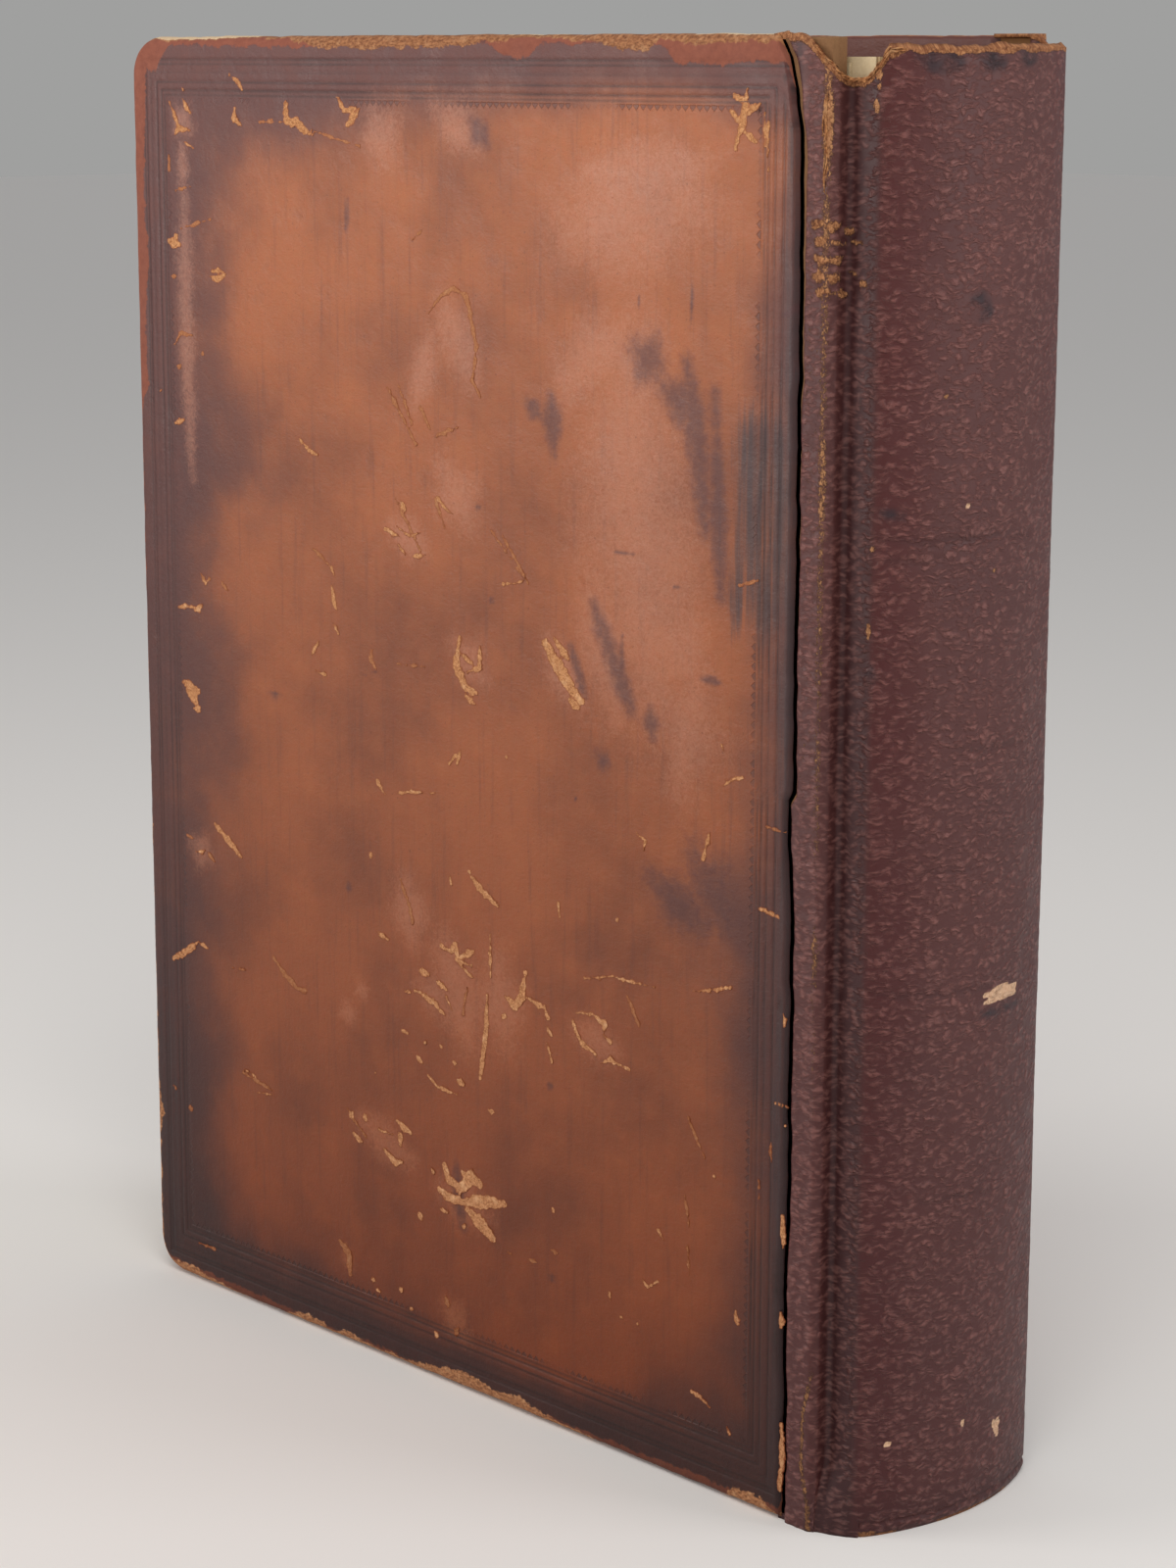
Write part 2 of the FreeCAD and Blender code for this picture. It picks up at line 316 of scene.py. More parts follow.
def calf_finish():
    """Old smooth calf: tan in the middle, purple-brown borders, worn and dirty edges, a painted sheen over
    the upper middle, and painted light that makes every tone lighter towards the head.
    """
    f = Finish("old_calf", specular=0.3)
    flat = f.flat()
    broad = f.noise(flat, 34, 4)
    patchy = f.noise(flat, 8, 5, 0.62)
    fine = f.noise(flat, 1.6, 4, 0.65)
    fibres = f.noise(f.stretch(flat, (0.55, 1, 1)), 0.5, 3, 0.7)
    streaks = f.noise(f.stretch(flat, (1, 0.05, 1)), 1.5, 3, 0.6)

    # Every tone here runs lighter towards the head: painted light falling from above
    tan = f.head_lit_tones((102, 40, 2), (172, 101, 60))
    tan = f.mix(f.ramp(broad, 0.36, 0.74, 0, 0.62), tan, f.head_lit_tones((68, 24, 2), (114, 60, 36)))
    tan = f.mix(f.ramp(streaks, 0.5, 0.78, 0, 0.35), tan, f.head_lit_tones((64, 26, 10), (104, 62, 52)))
    tan = f.mix(f.ramp(patchy, 0.45, 0.8, 0, 0.3), tan, f.head_lit_tones((134, 62, 12), (192, 124, 84)))
    tan = f.mix(f.ramp(patchy, 0.42, 0.25, 0, 0.3), tan, f.head_lit_tones((84, 36, 14), (118, 68, 46)))
    border = f.head_lit_tones((42, 13, 9), (96, 58, 54))
    border = f.mix(f.ramp(patchy, 0.4, 0.7, 0, 0.35), border,
                   f.head_lit_tones((66, 26, 16), (120, 78, 70)))
    shade = f.plus(f.field("shade"), f.sway(patchy, 0.6))
    shade = f.plus(shade, f.sway(broad, 0.9))
    colour = f.mix(f.ramp(shade, 0.0, 1.0), tan, border)
    black = f.plus(f.field("black"), f.sway(streaks, 1.3))
    colour = f.mix(f.ramp(black, 0.3, 0.95, 0, 0.9), colour,
                   f.head_lit_tones((40, 20, 20), (74, 60, 62)))
    smudge = f.plus(f.field("smudge"), f.sway(fine, 0.9))
    # Rubbed patches, paler and pinker towards the head; the widest patches are a painted sheen, not wear
    rub = f.plus(f.field("rub"), f.sway(f.noise(flat, 1.1, 4, 0.7, 1.5), 1.5))
    colour = f.mix(f.ramp(rub, 0.3, 1.3, 0, 0.42), colour,
                   f.head_lit_tones((156, 90, 50), (208, 152, 128)))
    colour = f.mix(f.ramp(smudge, 0.3, 1.1, 0, 0.75), colour,
                   f.head_lit_tones((50, 24, 22), (88, 58, 60)))
    colour = f.mix(f.ramp(fine, 0.35, 0.7, 0, 0.12), colour, srgb(214, 152, 116), "OVERLAY")
    pores = f.ramp(f.noise(flat, 0.7, 2, 0.5), 0.36, 0.24)
    colour = f.mix(f.times(pores, 0.35), colour, srgb(70, 36, 26))
    colour = f.mix(f.times(f.field("tool"), 0.85), colour,
                   f.head_lit_tones((26, 8, 6), (50, 30, 30)))

    along = f.field("along_band")
    tooth = f.math("ABSOLUTE", f.plus(f.math("FRACT", f.times(along, 1 / TOOTH_PITCH)), -0.5))
    reach = f.ramp(f.field("inset"), TEETH[1] + 0.25, TEETH[0] - 0.1)
    teeth = f.times(f.ramp(f.plus(f.times(tooth, -2), reach), 0.0, 0.25),
                    f.ramp(f.field("inset"), TEETH[0] - 0.3, TEETH[0]))
    teeth = f.times(teeth, f.ramp(f.noise(flat, 14, 2), 0.4, 0.6, 0.15, 0.85))
    colour = f.mix(f.times(teeth, 0.7), colour, f.head_lit_tones((44, 20, 16), (84, 54, 52)))

    ragged = f.plus(f.sway(f.noise(flat, 3.2, 5, 0.65), 3.4),
                    f.sway(fibres, 1.0))
    red = f.ramp(f.plus(f.field("red"), ragged), -0.1, 0.35)
    colour = f.mix(f.times(red, 0.8), colour,
                   f.mix(fine, f.head_lit_tones((84, 40, 30), (122, 66, 52)),
                         f.head_lit_tones((120, 66, 44), (172, 104, 80))))
    bare = f.ramp(f.plus(f.field("wear"), ragged), -0.1, 0.3)
    raw = f.mix(f.ramp(fibres, 0.3, 0.7), srgb(112, 68, 40), srgb(182, 126, 84))
    raw = f.mix(f.ramp(fine, 0.5, 0.72, 0, 0.6), raw, srgb(206, 158, 114))
    colour = f.mix(f.times(bare, 0.92), colour, raw)
    cream = f.ramp(f.plus(f.field("cream"), f.times(ragged, 0.5)), 0.0, 0.25)
    colour = f.mix(cream, colour, f.mix(fibres, srgb(196, 164, 126), srgb(232, 208, 172)))

    rough = f.ramp(patchy, 0.3, 0.7, 0.38, 0.52)
    rough = f.plus(rough, f.times(f.math("MAXIMUM", bare, red), 0.35))
    relief = f.plus(f.times(fine, 0.5), f.times(fibres, 0.22))
    relief = f.plus(relief, f.times(patchy, 0.7))
    relief = f.plus(relief, f.times(bare, f.times(fibres, 0.8)))
    relief = f.plus(relief, f.times(teeth, -0.5))
    relief = f.plus(relief, f.times(bare, -0.35))
    return f.done(colour, rough, f.bump(relief, 0.22))


def scuff_finish():
    """Raw fibres where the calf's surface has been scraped off."""
    f = Finish("scuffed_calf", roughness=0.8, specular=0.2)
    flat = f.flat()
    fibre = f.noise(flat, 0.55, 4, 0.7, 1.2)
    patch = f.noise(flat, 2.4, 3, 0.6)
    raw = f.mix(f.ramp(fibre, 0.3, 0.65), f.head_lit_tones((134, 82, 46), (158, 98, 58)),
                f.head_lit_tones((196, 140, 98), (220, 160, 108)))
    raw = f.mix(f.ramp(patch, 0.5, 0.75, 0, 0.6), raw, srgb(232, 184, 138))
    worn = f.head_lit_tones((120, 62, 32), (172, 108, 74))
    tone = f.mix(f.ramp(f.plus(f.field("deep"), f.sway(fibre, 0.5)), 0.0, 0.28), worn, raw)
    tone = f.mix(f.field("faint"), tone, f.mix(0.62, tone, worn))
    return f.done(tone, 0.8, f.bump(f.plus(fibre, f.times(patch, 0.6)), 0.25))


# The boards' old calf

def calf_edge(z, torn=True):
    """How far the old calf's edge lies from the joint edge, at each height."""
    if not torn:
        return 6.6 + 0.35 * noise(z, 0, 14, 5) + 0.15 * noise(z, 3, 3, 6)
    line = through(z, (0, 6.7), (20, 6.6), (40, 7.0), (60, 6.6), (95, 6.5), (112, 6.7), (118, 7.3),
                   (131, 7.8), (133, 6.7), (216, 6.7), (237, 6.8), (245, 7.3), (251, 8.3), (256, 9.7),
                   (259, 11.8), (260, 12.4))
    return line + 0.22 * noise(z, 0, 4, 5) + 0.1 * noise(z, 9, 1.2, 6)


def crack_gap(z, torn=True):
    """The width of the open crack beside the calf's edge."""
    if not torn:
        return 0.12 + 0.05 * noise(z, 2, 9, 8)
    return through(z, (0, 0.1), (60, 0.16), (130, 0.22), (190, 0.25), (208, 0.4), (230, 0.6), (250, 0.85),
                   (260, 1.1)) * (1 + 0.3 * noise(z, 4, 5, 8))


def cell_lines(length, rolled_end, first, last, step):
    """Places across a face: close beside the edge roll and the tooled lines, then even."""
    close, plain = (0, 0.35, 0.75, 1.15, 1.5, 1.8, 2.1, 2.5, 3.0, 3.6, 4.1), (0, 0.3, 0.8)
    places = list(close) + [length - v for v in (close if rolled_end else plain)]
    for band, way in ((first, 1), (length - last, -1)):
        for fillet in FILLETS:
            places += [band + way * fillet + d for d in (-FILLET_HALF, 0, FILLET_HALF)]
        # Between the fillets, and at both ends and the middle of the teeth
        places += [band + way * d for d in (1.65, 3.1, 3.75, 5.15, TEETH[0], 8.05, TEETH[1])]
    places = sorted(set(np.round(places, 3)))
    for a, b in zip(places[:-1], places[1:]):
        parts = int(math.ceil((b - a) / step))
        places += [a + (b - a) * n / parts for n in range(1, parts)]
    return np.array(sorted(places))


def rolled(t):
    """In-plane distance and drop below the face, for a distance t along the skin."""
    turn = np.clip(t / EDGE_ROLL, 0, math.pi / 2)
    beyond = np.maximum(t - EDGE_ROLL * math.pi / 2, 0)
    return EDGE_ROLL * (1 - np.cos(turn)) + beyond, EDGE_ROLL * (1 - np.sin(turn))


def cornered(u, v):
    """Bends the contours near a square corner so that they turn on an arc."""
    t = np.minimum(u, v)
    radius = CORNER_RADIUS * np.clip(1 - t / FRAME_INSET, 0, 1)
    along = np.abs(u - v)
    near = (along < radius) & (radius > 1e-6)
    angle = math.pi / 4 * (1 - along / np.maximum(radius, 1e-6))
    centre = t + radius
    leg, other = centre - radius * np.cos(angle), centre - radius * np.sin(angle)
    first = np.where(u <= v, leg, other)
    second = np.where(u <= v, other, leg)
    return np.where(near, first, u), np.where(near, second, v)


def band_place(u, z):
    """Distance inside the tooled frame's first line, and the place along that side."""
    sides = np.stack([u - FRAME_INSET, z - FRAME_INSET, height - FRAME_INSET - z,
                      width - JOINT_INSET - u])
    nearest = sides.argmin(0)
    return sides.min(0), np.where((nearest == 0) | (nearest == 3), z, u)


def relief(u, z, seed, edge):
    """How far the calf stands out from its flat face, worn tooling included."""
    inset, _ = band_place(u, z)
    out = 0.1 * layered(u, z, 42, seed) + 0.045 * layered(u, z, 9, seed + 3) \
        + 0.018 * layered(u, z, 2.6, seed + 5)
    strength = 0.75 + 0.35 * layered(u, z, 30, seed + 9)
    for fillet in FILLETS:
        groove = np.clip(1 - np.abs(inset - fillet) / FILLET_HALF, 0, 1)
        out = out - FILLET_DEPTH * strength * groove
    lift = smooth(width - u - edge, 4.5, 0.0) * through(z, (0, 0.05), (200, 0.1), (260, 0.28))
    return out + lift


def strokes(px, pz, marks):
    """The greatest depth inside any mark, each a width and then its points."""
    best = np.full(np.shape(px), -1e3)
    for mark in marks:
        size, points = mark[0], np.array(mark[1:], float).reshape(-1, 2)
        if len(points) == 1:
            points = np.vstack([points, points + (0.05, 0.0)])
        reach = size * 2 + 1.5
        window = (px > points[:, 0].min() - reach) & (px < points[:, 0].max() + reach) \
            & (pz > points[:, 1].min() - reach) & (pz < points[:, 1].max() + reach)
        x, z = px[window], pz[window]
        if not x.size:
            continue
        inside = np.full(x.shape, -1e3)
        run = np.hypot(*np.diff(points, axis=0).T)
        total, done = max(run.sum(), 1e-6), 0.0
        for (ax, az), (bx, bz), length in zip(points, points[1:], run):
            dx, dz = bx - ax, bz - az
            t = np.clip(((x - ax) * dx + (z - az) * dz) / max(length**2, 1e-9), 0, 1)
            share = (done + t * length) / total
            thick = size * (0.45 + 0.55 * np.sin(np.clip(share, 0.04, 0.96) * math.pi))
            if total < 0.2:
                thick = size
            inside = np.maximum(inside, thick - np.hypot(x - ax - t * dx, z - az - t * dz))
            done += length
        best[window] = np.maximum(best[window], inside)
    return best


def soft_marks(px, pz, marks):
    """Patches that fade out evenly, each over about its own width."""
    best = np.zeros(np.shape(px))
    for mark in marks:
        size = mark[0]
        wander = 0.35 * size * layered(px, pz, 2.0 * size, 91)
        best = np.maximum(best, smooth(strokes(px, pz, [mark]) + wander, -1.1 * size, size))
    return best


# Wear, stains and a painted sheen on the rear board. Each mark is a half width, then its (along, height)
# points.

# Scuffs that show raw fibre
BRIGHT = [
    (0.55, 178.1, 247.4, 175.7, 243.6, 174.7, 241.9, 171.2, 241.7), (0.4, 175, 242.2, 176.3, 240.9),
    (0.5, 173.6, 247.8, 172.4, 246.2, 171.2, 245), (0.4, 173.3, 249.5), (0.35, 173.3, 239.4, 170.5, 238.2),
    (0.55, 158.3, 252.4, 155.9, 251.3, 154.5, 249.5), (0.8, 156.8, 246, 157, 244, 154.9, 242.8),
    (0.95, 141, 247, 141, 243.8, 138.2, 243.8, 135.5, 242.2, 133.2, 241.4),
    (0.6, 126, 248.5, 123.6, 246.1, 119.4, 246.4), (0.85, 119.6, 246.2, 121.4, 244.6, 123.2, 243.2),
    (1.0, 179.2, 219.6, 175.8, 219.2), (0.6, 176.6, 220.6),
    (0.75, 165.8, 213.2, 163.4, 212.8, 161.2, 213.9), (0.7, 165.4, 214.2, 163, 214.5, 161.4, 214.2),
    (0.4, 178.2, 183.3, 175.4, 184.2), (0.45, 138.2, 182.9, 135.6, 181.2, 133.3, 180.5),
    (0.8, 108.4, 173.6, 107.4, 172.2), (0.45, 113.2, 168, 109, 167),
    (0.4, 109.6, 168.8, 106, 167.2, 103, 168.3), (0.35, 109.3, 165.4, 107.6, 164),
    (0.35, 105, 163.6, 101.5, 164.2), (0.3, 98.6, 176, 96, 173.6, 93.8, 172.8),
    (0.45, 171, 153.2, 169.4, 151.2, 168.2, 152.4), (0.55, 178.5, 145.6, 174, 145.9, 170.8, 146.1),
    (0.9, 172.8, 145.4, 171, 146.4), (0.35, 130, 159.3, 128.2, 157.4),
    (0.5, 129.2, 155.1, 128.6, 152.6, 128.1, 150.6), (0.35, 129.2, 148.2, 127.4, 146.1),
    (0.5, 133.7, 143.7, 135.8, 140.9), (0.3, 134.7, 137.8, 130.6, 137.4),
    (1.5, 176.4, 129.6, 174.8, 128, 173.6, 126), (0.9, 177.4, 130.1, 172.6, 128.6),
    (0.9, 174, 124.9, 172.4, 124.9), (1.5, 68.6, 151.6, 65, 147.6, 61.4, 143.8, 59, 142),
    (0.8, 66, 152.4, 62.4, 149.4), (0.9, 62, 142, 59.8, 140.6),
    (0.95, 92, 149.6, 92.8, 144.2, 90.5, 140.4, 87.2, 139.6), (0.6, 86.3, 148.6, 86.2, 144.6, 89.8, 143.4),
    (0.7, 91.4, 146.6, 88.4, 145), (0.5, 90.2, 138.8, 88, 137.6), (0.3, 80, 161.2, 76.6, 161.6, 74, 162.4),
    (0.5, 79.6, 161), (0.4, 78.9, 128.7), (0.35, 95.1, 125, 93.4, 126.8, 91.7, 127.4),
    (0.55, 92.6, 125.4, 91.8, 128.2), (0.4, 110.4, 116.9, 106, 118, 99.3, 118.7),
    (0.45, 116.7, 119, 115, 117.4, 113.9, 116.3), (0.35, 44.5, 120, 42.4, 119, 42.8, 117),
    (0.35, 23.3, 131.9, 20.6, 133.6, 18.5, 134), (0.3, 24, 139.2, 23, 137.8),
    (0.3, 14.3, 111.5, 11.6, 111.2, 9.4, 110.6), (0.5, 26.4, 123, 28, 118),
    (0.75, 168, 101.5, 164, 99, 159.4, 95.9), (0.9, 183.3, 69.9, 179.9, 71.6, 174.7, 75.1),
    (0.4, 174.7, 75, 171.2, 74.4), (0.5, 174.7, 94.5, 171.6, 95.2), (0.5, 118.4, 103.5),
    (0.5, 116.7, 88.3, 113.5, 87.2), (0.4, 108.3, 77.8, 107, 77.8),
    (0.65, 105.5, 78.5, 102.4, 77.9, 100, 77.1, 96.5, 75.2), (0.5, 96.4, 79, 95, 76.8),
    (0.8, 103.9, 82.8, 101.6, 82.6), (0.5, 99.3, 81.7, 96.5, 80.6),
    (0.7, 97.9, 89, 95.1, 88.3, 93.7, 89.9, 93, 86.9, 89.4, 86.6), (0.4, 95.1, 103, 94.8, 101.8),
    (0.45, 109.4, 69.5, 108, 69.5), (0.5, 102.8, 68.5), (0.6, 98.2, 69, 97.4, 68.4),
    (0.5, 94.4, 66.4, 93.6, 66.2), (0.85, 93, 62.8, 92, 62.6), (0.55, 105.2, 65.3, 103.8, 64.3),
    (0.4, 102, 62.2, 99.3, 60.5, 93.4, 60.1), (0.4, 117.7, 59.1), (0.35, 159.4, 50.8, 156, 50),
    (0.3, 156, 46.6, 150.7, 47.3), (0.8, 125.9, 49.3, 125, 48.4), (0.8, 121, 49.2),
    (0.6, 124.7, 45.1, 122.3, 43.8), (0.4, 116.7, 47.7, 112.9, 47.6), (1.0, 111.2, 50.7, 107.6, 49.2),
    (0.8, 110.5, 48.3, 110.4, 45.8), (0.75, 115.3, 43.8, 111.9, 42, 109.8, 42.7), (0.5, 100.8, 42.8),
    (0.8, 89.4, 104.9, 87.9, 103.2, 85.1, 101.5, 81.7, 99.7), (0.3, 65, 103.5, 64.6, 100.8),
    (0.5, 49.4, 102.8), (0.45, 83.8, 93.8, 83.8, 85.5), (0.8, 92.8, 87.4, 90.6, 88.6, 88.6, 89.7),
    (0.55, 92.4, 86.2, 88.6, 84.4), (0.95, 79.6, 82.4, 76.8, 81.2, 75.1, 83.4, 74, 88.3),
    (0.6, 73.7, 83.5, 70.6, 82.8, 68.5, 82.5, 67.8, 80.6), (0.5, 68.5, 79.2, 66.7, 77.5),
    (0.4, 68.1, 75.8, 66.7, 72.3), (0.75, 84.8, 81.7, 85.1, 74.4, 86.9, 64.7), (0.6, 79.9, 78.5),
    (0.5, 60.1, 83.4, 56, 84, 52.5, 82.7, 52.9, 80.6, 51.1, 79.6),
    (0.5, 61.2, 81.7, 60.5, 79.9, 58.8, 77.8, 54.9, 76.5), (0.5, 53.5, 75.1, 51.1, 76.3, 46.3, 75.4),
    (0.32, 58, 90.3, 51, 92.1, 40, 92.3), (0.25, 30.3, 93.5, 25, 94.8, 19.2, 96.6),
    (0.4, 8.2, 93.8, 7.9, 91.7), (0.25, 9.8, 77.3, 6.4, 77.4), (0.45, 7.4, 73.7), (0.5, 84.4, 59.1, 83, 59),
    (0.35, 24.4, 60.5), (0.45, 38.3, 46.6), (1.6, 93, 41, 89.4, 44.4, 87, 43.4),
    (1.5, 92.4, 38.6, 87, 40.2, 80.2, 41.2), (1.5, 90.6, 37.6, 86.6, 35.6, 83, 33.4),
    (1.2, 98.8, 39.6, 95.2, 38.6, 92, 38.8), (1.0, 97.4, 45, 96, 42.2, 92.8, 41.6),
    (0.8, 92.2, 45, 90.4, 43.4), (0.6, 99, 35.8, 96.6, 35.4), (0.5, 91.7, 33.8), (0.75, 104.6, 32.8),
    (0.45, 66.4, 43.5), (0.4, 38.3, 46.5, 36.9, 45.1), (0.35, 42.4, 36.1, 41, 35, 38.6, 36.8),
    (0.65, 18.7, 36.2, 18.2, 34.4), (0.55, 51.1, 31, 51, 29.8), (0.4, 48, 27.3), (0.4, 43.8, 27.3),
    (0.4, 29.6, 18, 27.4, 17.6, 25.1, 16.3), (0.45, 20.6, 14, 20, 12.8), (0.7, 119.4, 15.7, 118.6, 15.5),
    (0.6, 118.2, 13.8, 117.4, 13.6), (0.6, 110.5, 15.8), (0.55, 107.6, 12.6), (0.7, 100, 9.2),
    (0.75, 7.7, 57, 7.4, 51.4), (0.85, 7.8, 39, 7.6, 36.6), (0.6, 7.2, 18.4, 7, 12, 7.5, 6),
    (0.75, 22, 240.8, 21, 243.4, 20.2, 245.4, 19.4, 250.8), (0.6, 20.4, 245, 23.2, 247.2),
    (0.6, 20.2, 246.4, 16.6, 248.2), (0.5, 20.6, 244, 17.2, 242.2), (0.6, 19.4, 248.6, 22.2, 249.6),
    (0.25, 15.3, 247, 15.2, 241.5), (0.22, 14.6, 246, 14.5, 237.4),
]
# Fainter scratches
FAINT = [
    (0.3, 149.3, 243.6, 141.7, 243.6), (0.3, 133.3, 242.2, 125, 240.5, 119.4, 239.6),
    (0.45, 178.4, 236.7, 178.4, 234), (0.35, 175, 222.4, 170, 223.4, 165.3, 224.5),
    (0.3, 176.4, 229.8, 171.4, 230.8), (0.5, 178.5, 212.8, 177.4, 212.5),
    (0.35, 177.8, 199.2, 175.7, 201.6, 172.2, 201.3), (0.5, 176.7, 194.8), (0.45, 183, 189.4),
    (0.35, 168.8, 197.8), (0.35, 104.5, 222.8, 101.4, 224.9),
    (0.3, 84.4, 171.8, 80, 168, 76, 164.5, 74.2, 162.6), (0.35, 135, 162, 131.8, 160.2, 130, 159.3),
    (0.4, 117.7, 144, 117.6, 142, 115.6, 139.9), (0.25, 109.7, 142.3, 102, 142.8),
    (0.5, 100, 209.6, 96.5, 213, 93, 214.4, 89.6, 213, 87, 204, 88, 198, 86, 195),
    (0.45, 109, 195.7, 106.8, 192, 105, 188.4), (0.45, 110, 174, 106, 169, 103, 165),
    (0.4, 99, 176, 96, 170), (0.4, 80, 170, 73, 162), (0.5, 102.6, 192, 100, 188), (0.5, 98, 187, 92, 189),
    (0.7, 149.3, 76.5, 145.8, 73.7, 141.7, 71.8, 138.9, 71.6), (0.3, 163, 71.8, 158.8, 72.2),
    (0.3, 177.8, 97.6, 175.4, 97.2), (0.35, 170.8, 95.2, 168.4, 93.5),
    (0.3, 47, 89.3, 45, 86.4, 43.5, 84.1), (0.25, 31, 69.9, 29, 66.4, 26.8, 63.3),
    (0.22, 31.7, 54.9, 30.6, 49.4), (0.25, 31, 46, 30.4, 40), (0.4, 176.5, 8.5, 170.9, 8.5),
    (0.7, 183.7, 41.5), (0.7, 178.5, 38.2), (1.0, 129.6, 21.2, 126.8, 19.1, 126.5, 15),
    (0.6, 97, 17.8, 96.4, 16), (0.5, 93.5, 12.2, 94.4, 10.8), (0.4, 67, 35.4, 65, 35.2),
    (0.35, 78.9, 31.9, 77.6, 31.9), (0.35, 73.4, 32, 71, 31.9), (0.2, 10.8, 71, 10.7, 66),
    (0.22, 13.6, 63, 13.4, 59), (0.3, 90.3, 82.7, 91.2, 79, 91.7, 76.5),
    (0.45, 109.7, 100, 107.6, 96, 106, 92), (0.3, 19.9, 167.6, 15.7, 168.7), (0.35, 164, 152, 161.6, 150.4),
    (0.3, 12.9, 126.3, 8.4, 126), (0.5, 160, 50, 150, 48), (0.35, 127, 50, 121, 45),
    (0.45, 112, 195, 108, 190, 104, 185),
]
# Wide, soft patches that are rubbed lighter; the last three, the widest, are a painted sheen over the upper
# middle
RUBS_AND_SHEEN = [
    (7, 115, 246, 112, 238), (6, 97, 246, 88, 241), (3, 174, 238, 174, 200, 173, 172),
    (4.5, 176, 245, 172, 242), (6, 93, 148, 86, 143), (5, 68, 152, 59, 141), (9, 96, 88, 90, 72),
    (8, 82, 88, 80, 74), (6, 104, 80, 96, 77), (6, 108, 99, 106, 88), (6, 98, 40, 84, 37),
    (5, 60, 80, 50, 78), (5, 110, 168, 102, 165), (6, 96, 212, 88, 198), (3.6, 126.3, 71, 125.6, 68.6),
    (3, 128, 20, 126, 16), (5, 175, 96, 170, 94), (8, 55, 165, 50, 140), (9, 40, 158, 30, 150),
    (9, 62, 200, 48, 210), (7, 95, 180, 90, 172), (5, 122, 48, 108, 44), (6, 58, 236, 30, 238),
    (5, 100, 205, 104, 192), (3, 121.9, 76, 121.4, 74.6), (5, 97, 16, 92, 12), (17, 48, 204, 40, 142),
    (13, 34, 232, 62, 226), (9, 30, 150, 34, 132),
]
# Soft dark stains
SMUDGES = [
    (5.5, 45, 206, 40, 203), (4.5, 38, 200, 30, 196), (2.4, 73, 195, 70, 193),
    (3, 33, 205, 30, 190, 28, 175), (2.6, 26, 200, 25, 178, 24, 165), (2.6, 67, 197, 66, 186),
    (2.4, 41.5, 143, 40.6, 138), (3.2, 54, 132, 52, 131), (1.2, 68.5, 129.8, 67.6, 130),
    (1.0, 29, 150.2, 24, 150), (1.1, 125.3, 96.4, 125.2, 95), (1.0, 67.1, 67.8), (1.1, 66.7, 29.9),
    (0.9, 87.2, 174.6, 86, 174.4), (0.8, 83, 157.6), (1.0, 123.3, 229.7, 123.5, 224), (7, 30, 118, 22, 108),
    (6, 40, 112, 28, 106), (0.7, 11.5, 213.4, 8.6, 214.6, 6.2, 215.1), (0.9, 9, 214.8, 6, 215.6),
    (0.5, 29.6, 248, 28.5, 247.2), (0.35, 48.3, 155.8, 48.3, 143.3), (0.45, 51.8, 171, 50, 170, 45.6, 170),
    (0.4, 35.8, 165.6, 33.8, 165.2), (0.4, 153.5, 132.2, 149, 132, 144.4, 131.2),
    (0.35, 120, 139, 115.8, 139.9), (0.5, 31.4, 219, 32.4, 210.3), (0.4, 44.9, 215.8, 44.2, 212.4),
    (0.35, 61.5, 125.6, 59.4, 122.2), (0.5, 60.6, 146, 58.2, 142.6), (2.4, 94, 46, 92, 34),
    (3, 56, 160, 46, 142), (3, 88, 245, 84, 241), (1.6, 62, 152, 58, 143),
]


def shades(u, z, seed, worn):
    """The dark borders: soft bands of uneven width along the four sides."""
    along = width - u
    drift = layered(u, z, 26, seed + 21)
    if not worn:
        reach = 18 + 5 * drift
        near = np.minimum(np.minimum(u, along), np.minimum(z, height - z))
        return smooth(near, reach, 4), smooth(along, 14, 7) * 0.8
    left = through(z, (0, 30), (60, 27), (110, 31), (150, 36), (175, 38), (200, 28), (225, 33), (260, 40))
    right = through(z, (0, 27), (60, 24), (110, 34), (125, 22), (160, 17), (200, 19), (260, 13))
    top = through(along, (0, 14), (60, 13), (110, 15), (130, 19), (160, 24), (191, 30))
    tail = through(along, (0, 20), (60, 15), (120, 15), (191, 22))
    left, right, top, tail = 1.55 * left, 1.45 * right, 1.6 * top, 1.4 * tail
    light = (1 - smooth(u, left * (1 + 0.4 * drift), 3)) * (1 - smooth(along, right + 8 * drift, 3))
    light = light * (1 - smooth(height - z, top * (1 + 0.4 * drift), 4))
    shade = 1 - light * (1 - smooth(z, tail * (1 + 0.5 * drift), 2))
    edge = through(z, (0, 16), (60, 15), (115, 15), (140, 17), (260, 16))
    black = smooth(along, edge + 2 * drift, 6.5) * through(z, (0, 0.95), (110, 0.9), (140, 0.8),
                                                           (215, 0.85), (245, 0.7), (260, 0.4))
    black = np.maximum(black, 0.75 * smooth(along, 27, 19) * smooth(z, 150, 165) * smooth(z, 206, 192))
    black = np.maximum(black, 0.6 * smooth(u, 17, 5) * smooth(z, 120, 60))
    return shade, black


NO_WEAR = -9.0


